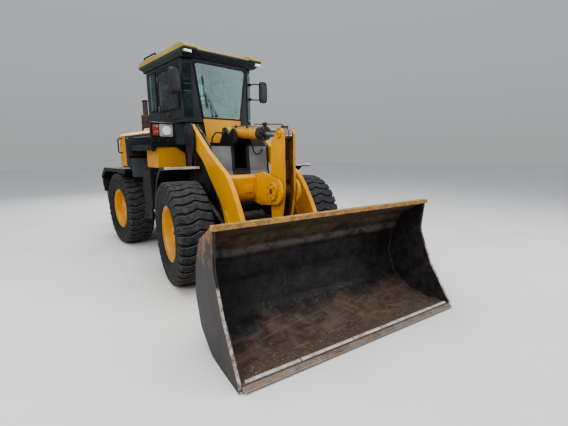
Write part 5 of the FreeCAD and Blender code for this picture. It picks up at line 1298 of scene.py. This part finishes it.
ub.done("rear_half", "cast_axle")
uf = Piece("front_drive_line", True)
uf.rod((0, -60, 640), (0, -1200, 655), 36, cast, 20, 3)
uf.lathe((0, -70, 641), (0, 1, 0), [(-26, 0), (-26, 62), (-8, 66), (8, 66), (26, 62), (26, 0)], cast, 24)
uf.lathe((0, -REACH + 196, HUB), (0, 1, 0), [(-70, 150), (0, 128), (30, 78), (60, 70), (60, 0), (-70, 0)], cast, 36)
for s in (1, -1):
    uf.lathe((s * 560, -REACH, HUB), (s, 0, 0), [(0, 100), (0, 146), (16, 150), (34, 150), (36, 100)], cast, 36)
    for k in range(12):
        a = math.pi * k / 6
        uf.hexagon((s * 596, -REACH + 136 * math.cos(a), HUB + 136 * math.sin(a)), (s, 0, 0), 8, 8, bolt_steel, washer=False)
uf.lathe((0, -470, 647), (0, 1, 0), [(0, 44), (0, 84), (14, 90), (34, 90), (34, 44)], cast, 30)
uf.done("front_half", "cast_axle")

# ------------------------------------------------------------- front frame details
def pin_head(piece, y, z, x, s, r, mat=yellow, keeper=True):
    """A pin's end: collar, keeper plate with its bolts and a grease nipple."""
    piece.lathe((x, y, z), (s, 0, 0), [(-2, 0), (-2, r), (5, r), (7, r - 3), (7, r * 0.55), (5, r * 0.5), (5, 0)], mat, 32)
    if keeper:
        piece.box(*sorted((x, x + s * 9)), y - 20, y + 20, z + r * 0.45, z + r + 26, mat, 3)
        piece.hexagon((x + s * 9, y, z + r + 12), (s, 0, 0), 7, 7, bolt_steel, stud=False)
    piece.lathe((x + s * 5, y, z), (s, 0, 0), [(0, 0), (0, 7), (5, 7), (6, 4), (12, 4), (14, 2.5), (14, 0)], bolt_steel, 10)


ft = Piece("tower_trim", True)
for s in (1, -1):
    pin_head(ft, *BOOM_FOOT, s * 584, s, 54, tower_paint, False)
    ft.bead([(s * 560, -780, 1348), (s * 560, -690, 1348)], 4, tower_paint, 9)
    # weld seams of the tower plates
    ft.bead([(s * 424, -1505, 952), (s * 424, -1238, 1400), (s * 424, -1206, 1740)], 5, tower_paint, 2)
    ft.bead([(s * 134, -1190, 1427), (s * 134, -600, 1427)], 5, tower_paint, 4)
    # hydraulic pipes down the inner faces of the tower
    for k in range(2):
        x = s * (396 - 26 * k)
        ft.pipe([(x, -640, 1740), (x, -760, 1560), (x, -1050, 1446), (x, -1180, 1446)], 9, bolt_steel, 60, 10)
        for p in ((-840, 1530), (-1060, 1448)):
            ft.box(x - 14, x + 14, p[0] - 10, p[0] + 10, p[1] - 6, p[1] + 18, black, 3)
# control valve block on the tower deck
ft.box(-330, -170, -1010, -860, 1425, 1520, engine_grey, 8)
for k in range(4):
    ft.rod((-310 + k * 40, -1010, 1478), (-310 + k * 40, -1030, 1478), 14, bolt_steel, 14)
    ft.hexagon((-310 + k * 40, -1030, 1478), (0, -1, 0), 12, 10, bolt_steel, washer=False, stud=False)
ft.box(170, 330, -1010, -860, 1425, 1500, engine_grey, 8)
for x in (-420, -300, -180, 180, 300, 420):
    ft.hexagon((x, -1222, 1427), (0, 0, 1), 9, 6, bolt_steel, stud=False)
ft.done("front_half", "grey_paint")

# --------------------------------------------------------------------------- boom
bt = Piece("boom_trim", True)
for s in (1, -1):
    # weld seams where the cross tube meets the arms
    loop = [(-1950, 1110), (-1952, 1365), (-1800, 1388), (-1612, 1296), (-1610, 1110), (-1790, 1030), (-1950, 1104)]
    bt.bead([(s * 473, a, b2) for a, b2 in loop], 5, yellow_boom, 5)
    for xx in (98, 134):
        bt.bead([(s * xx, -1800, 1384), (s * xx, -1955, 1376), (s * xx, -1955, 1100)], 5, yellow_boom, 6)
    # a collar round the boom's foot pin on each arm
    for (a, b2) in (BOOM_FOOT,):
        bt.lathe((s * (539), a, b2), (s, 0, 0), [(0, 66), (0, 92), (6, 92), (8, 88), (8, 68)], yellow_boom, 40)
# stop blocks on the cross tube
for s in (1, -1):
    bt.box(*sorted((s * 190, s * 300)), -1975, -1948, 1170, 1260, yellow_boom, 5)
bt.done("boom", "yellow_paint")

# caps of the pins that turn with their own bodies
for name, (py, pz), xx, rr, n, mat in (("bell_pin", BELL_PIVOT, 164, 78, 6, bolt_steel), ("bucket_pins", BUCKET_PIN, 597, 66, 6, bolt_steel), ("link_pin", BELL_LOW, 108, 38, 4, bolt_steel)):
    pc = Piece(name + "_bolts", True)
    for s in (1, -1):
        for k in range(n):
            a = 2 * math.pi * (k + 0.5) / n
            pc.hexagon((s * xx, py + rr * math.cos(a), pz + rr * math.sin(a)), (s, 0, 0), 8 if rr > 50 else 6, 7, mat, stud=False)
        pc.lathe((s * xx, py, pz), (s, 0, 0), [(-1, 0), (-1, rr * 0.42), (4, rr * 0.42), (6, rr * 0.36), (6, 9), (14, 7), (16, 3), (16, 0)], mat, 24)
    pc.done(name, "pin_steel")

bl = Piece("bellcrank_trim", True)
for s in (1, -1):
    pin_head(bl, *BELL_TOP, s * 98, s, 42, yellow_bell)
    bl.bead([(s * 50, -2398, 1330), (s * 50, -2398, 1560)], 4, yellow_bell, 7)
bl.ring((0, *BELL_PIVOT), (1, 0, 0), 79, 4, yellow_bell, 40, 8)
bl.done("bellcrank", "yellow_paint")

# --------------------------------------------------------- cylinders' glands, pipes
def ray2(p, q, d, up=0.0):
    L = math.hypot(q[0] - p[0], q[1] - p[1])
    uy, uz = (q[0] - p[0]) / L, (q[1] - p[1]) / L
    return (p[0] + uy * d - uz * up * (1 if uy < 0 else -1) * -1, p[1] + uz * d + abs(uy) * up)


tb = Piece("tilt_barrel_trim", True)
ax = Vector((0, BELL_TOP[0] - TILT_BASE[0], BELL_TOP[1] - TILT_BASE[1])).normalized()
A0 = Vector((0, *TILT_BASE))
for d in (84, 888):
    tb.lathe(A0 + ax * d, ax, [(0, 77), (0, 84), (4, 86), (12, 86), (16, 84), (16, 77)], yellow_barrel, 40)
for k in range(8):
    a = 2 * math.pi * (k + 0.5) / 8
    n = Vector((math.cos(a), 0, 0)) + Vector((0, -ax.z, ax.y)) * -math.sin(a)
    tb.hexagon(A0 + ax * 1000 + n * 66, ax, 9, 9, bolt_steel, stud=False)
tb.ring(A0 + ax * 1001, ax, 42, 5, trim_black, 32, 8)
upv = Vector((0, -ax.z, ax.y))
if upv.z < 0:
    upv = -upv
for x in (-52, 48):
    off = upv * 84 + Vector((x, 0, 0))
    tb.pipe([A0 + ax * 150 + upv * 70 + Vector((x, 0, 0)), A0 + ax * 156 + off, A0 + ax * (880 if x < 0 else 420) + off, A0 + ax * (886 if x < 0 else 430) + upv * 70 + Vector((x, 0, 0))], 8, old_rod, 16, 10)
    for d in (260, 600) if x < 0 else (260,):
        tb.box(x - 13, x + 13, -9, 9, 64, 98, black, 2, Matrix.Translation(A0 + ax * d) @ Matrix(((1, 0, 0, 0), (0, ax.y, -ax.z, 0), (0, ax.z, ax.y, 0), (0, 0, 0, 1))) if False else
               Matrix.Translation(A0 + ax * d) @ Matrix(((1, 0, 0, 0), (0, -ax.y, upv.y, 0), (0, -ax.z, upv.z, 0), (0, 0, 0, 1))))
# guide of the leveller rod
tb.lathe(A0 + ax * 930 + upv * 112 + Vector((34, 0, 0)), ax, [(-30, 13), (-30, 22), (30, 22), (30, 13)], black, 24, 1)
tb.box(22, 46, -16, 16, 84, 104, black, 3, Matrix.Translation(A0 + ax * 930) @ Matrix(((1, 0, 0, 0), (0, -ax.y, upv.y, 0), (0, -ax.z, upv.z, 0), (0, 0, 0, 1))))
tb.done("tilt_barrel", "yellow_paint")

tr = Piece("leveller_rod", True)
Lt = math.hypot(BELL_TOP[0] - TILT_BASE[0], BELL_TOP[1] - TILT_BASE[1])
tr.pipe([A0 + ax * (Lt - 820) + upv * 112 + Vector((34, 0, 0)), A0 + ax * (Lt - 150) + upv * 112 + Vector((34, 0, 0)), A0 + ax * (Lt - 60) + upv * 96 + Vector((34, 0, 0)),
         A0 + ax * (Lt - 34) + upv * 52 + Vector((34, 0, 0))], 10, old_rod, 40, 12)
tr.ring(A0 + ax * Lt + Vector((0, 0, 0)), (1, 0, 0), 67, 6, stack_paint, 36, 10)
tr.lathe(A0 + ax * (Lt - 92), ax, [(-26, 41), (-26, 54), (-10, 60), (24, 60), (30, 52), (30, 41)], stack_paint, 32, 1)
tr.box(-40, 40, -20, 20, 54, 92, stack_paint, 6, Matrix.Translation(A0 + ax * (Lt - 30)) @ Matrix(((1, 0, 0, 0), (0, -ax.y, upv.y, 0), (0, -ax.z, upv.z, 0), (0, 0, 0, 1))))
tr.done("tilt_rod", "rod_chrome")

lc = Piece("lift_barrel_trim", True)
al = Vector((0, LIFT_EYE[0] - LIFT_BASE[0], LIFT_EYE[1] - LIFT_BASE[1])).normalized()
for s in (1, -1):
    B0 = Vector((s * 509, *LIFT_BASE))
    for d in (80, 1130):
        lc.lathe(B0 + al * d, al, [(0, 46), (0, 50), (3, 51), (10, 51), (13, 50), (13, 46)], cyl_black, 36)
    lc.ring(B0 + al * 1206, al, 28, 4, trim_black, 28, 8)
lc.done("lift_barrels", "cylinder_black")

for side, s in (("left", 1), ("right", -1)):
    p = Vector((s * 250, 480, 745))
    fx, fy = s * 255.0, -365.0
    q = Vector((fx * math.cos(TURN) - fy * math.sin(TURN), fx * math.sin(TURN) + fy * math.cos(TURN), 745))
    a = (q - p).normalized()
    sc = Piece("steer_barrel_trim_" + side)
    for d in (60, 505):
        sc.lathe(p + a * d, a, [(0, 35), (0, 39), (4, 40), (10, 40), (12, 39), (12, 35)], cyl_black, 30)
    for d in (110, 470):
        sc.lathe(p + a * d + Vector((0, 0, 34)), (0, 0, 1), [(-4, 0), (-4, 15), (12, 15), (12, 11), (20, 11), (20, 0)], bolt_steel, 12)
    sc.ring(p + a * 521, a, 23, 3.5, trim_black, 24, 8)
    sc.done("steer_barrel_" + side, "cylinder_black")

# -------------------------------------------------------------------------- bucket
bk = Piece("bucket_wear", True)
for k in range(9):
    x = -1080 + 270 * k
    bk.lathe((x, -3620, 43), (0, 0, 1), [(-24, 0), (-24, 11.5), (1, 11.5), (1, 17), (4, 19), (6, 15), (6, 0)], edge_steel, 16)
    bk.lathe((x, -3620, 20), (0, 0, -1), [(-6, 0), (-6, 11.5), (0, 18), (1, 18), (1, 0)], bolt_steel, 16)
# bright worn bars behind the cutting lip, in lengths with gaps
for x0, x1 in ((-1180, -705), (-690, -148), (-136, 196), (210, 1196)):
    bk.prism([(-3728, 43.0), (-3700, 43.6), (-3702, 56.0, 3), (-3722, 55.4, 3)], "yz", x0, x1, worn_strip, 1.5)
bk.bead([(-1218, -3562, 30), (1218, -3562, 30)], 7, bucket_steel, 11)
# stiffening ribs and wear plates behind and under the bucket
for x in (-1080, -760, 760, 1080):
    bk.prism([(-3045, 948), (-2925, 700), (-2885, 430), (-2985, 160), (-2960, 150, 20), (-2862, 430, 60), (-2900, 706, 60), (-3025, 962)], "yz", x - 10, x + 10, bucket_steel, 2)
for x in (-1100, -620, -140, 340, 820):
    bk.box(x, x + 280, -3540, -3440, -0.0, 2.0, bucket_steel, 0.6)
bk.prism([(-3362, 1086), (-3330, 1085), (-3245, 1046), (-3255, 1028)], "yz", -1218, 1218, bucket_steel, 1.5)
for s in (1, -1):
    # side cutter along the lower front corner of each side plate
    bk.prism([(-3738, 62), (-3491, 425), (-3464, 407), (-3560, 262), (-3690, 62)], "yz", *sorted((s * 1219, s * 1212)), bucket_steel, 1.5)
    bk.bead([(s * 1216, -3420, 34), (s * 1216, -3240, 46), (s * 1216, -3010, 185), (s * 1216, -2906, 432), (s * 1216, -2950, 694), (s * 1216, -3058, 928), (s * 1216, -3255, 1036)], 7, bucket_steel, 12)
# a little dry soil left on the floor
rnd = random.Random(7)
b = bmesh.new()
for k in range(300):
    x = rnd.uniform(-1190, 1190)
    y = rnd.uniform(-3690, -3240) if k % 3 else rnd.gauss(-3585, 22)
    r = rnd.uniform(3, 9) * (1.5 if rnd.random() < 0.08 else 1)
    z = 24 + (20.5 if y < -3560 else 0) + (0 if y < -3420 else (y + 3420) * 0.055 + max(0, (y + 3330)) * 0.03)
    g = bmesh.ops.create_icosphere(b, subdivisions=1, radius=r, matrix=Matrix.Translation((x, y, z)) @ Matrix.Diagonal((1.0 + rnd.random(), 1.0 + rnd.random(), 0.55, 1)))
    for v in g["verts"]:
        v.co += Vector((rnd.uniform(-1, 1), rnd.uniform(-1, 1), rnd.uniform(-1, 1))) * r * 0.22
soil = Tree("dry_soil")
n = soil.noise(30, 6)
soil_mat = soil.end(soil.mix(soil.ramp(n, 0.35, 0.65), (0.066, 0.047, 0.035), (0.150, 0.115, 0.086)), 0.92, soil.bump(soil.noise(160, 5), 0.6, 0.002))
bk.emit(b, soil_mat)
bk.done("bucket", "bucket_steel")

# --------------------------------------------------------------- floor and light
bpy.ops.mesh.primitive_plane_add(size=90, location=(0, 0, 0))
ground = bpy.context.object
ground.name = "studio_floor"
ground.data.materials.append(floor_material())

world = bpy.data.worlds.new("studio")
scene.world = world
world.use_nodes = True
wt = world.node_tree
bg = wt.nodes["Background"]
grad = wt.nodes.new("ShaderNodeTexCoord")
sep = wt.nodes.new("ShaderNodeSeparateXYZ")
wt.links.new(grad.outputs["Generated"], sep.inputs[0])
cr = wt.nodes.new("ShaderNodeValToRGB")
cr.color_ramp.elements[0].position = 0.0
cr.color_ramp.elements[0].color = (0.62, 0.63, 0.64, 1)
cr.color_ramp.elements[1].position = 0.75
cr.color_ramp.elements[1].color = (0.86, 0.90, 0.96, 1)
wt.links.new(sep.outputs["Z"], cr.inputs[0])
wt.links.new(cr.outputs[0], bg.inputs[0])
bg.inputs[1].default_value = 0.58


def area(name, at, to, size, power, color=(1, 1, 1)):
    d = bpy.data.lights.new(name, "AREA")
    d.shape = "RECTANGLE"
    d.size, d.size_y = size
    d.energy = power
    d.color = color
    o = bpy.data.objects.new(name, d)
    scene.collection.objects.link(o)
    o.location = at
    o.rotation_euler = (Vector(to) - Vector(at)).to_track_quat("-Z", "Y").to_euler()
    return o


area("overhead", (-1.0, -1.5, 9.5), (0, 0, 1), (9, 9), 740, (1.0, 0.99, 0.97))
area("key", (-7.5, -5.0, 6.0), (0, 0, 1.2), (5, 4), 430, (1.0, 0.98, 0.95))
area("fill", (6.5, -7.5, 4.5), (0, -1, 1.0), (5, 4), 260, (0.95, 0.98, 1.0))
area("back", (2.0, 9.0, 6.0), (0, 0, 1.5), (6, 3), 340, (1.0, 1.0, 1.0))

# -------------------------------------------------------------------------- camera
YAW, PITCH, ROLL = math.radians(-42.54), math.radians(10.09), math.radians(-0.54)
fwd = Vector((-math.sin(YAW) * math.cos(PITCH), math.cos(YAW) * math.cos(PITCH), -math.sin(PITCH)))
right = Vector((math.cos(YAW), math.sin(YAW), 0))
upw = right.cross(fwd)
r2 = right * math.cos(ROLL) + upw * math.sin(ROLL)
u2 = -right * math.sin(ROLL) + upw * math.cos(ROLL)
cam = bpy.data.cameras.new("camera")
cam.sensor_width = 36.0
cam.sensor_fit = "HORIZONTAL"
cam.lens = 21.33
co = bpy.data.objects.new("camera", cam)
scene.collection.objects.link(co)
mw = Matrix.Identity(4)
for i in range(3):
    mw[i][0], mw[i][1], mw[i][2] = r2[i], u2[i], -fwd[i]
mw[0][3], mw[1][3], mw[2][3] = -2.6729, -4.8632, 1.6413
co.matrix_world = mw
scene.camera = co

bpy.context.view_layer.update()
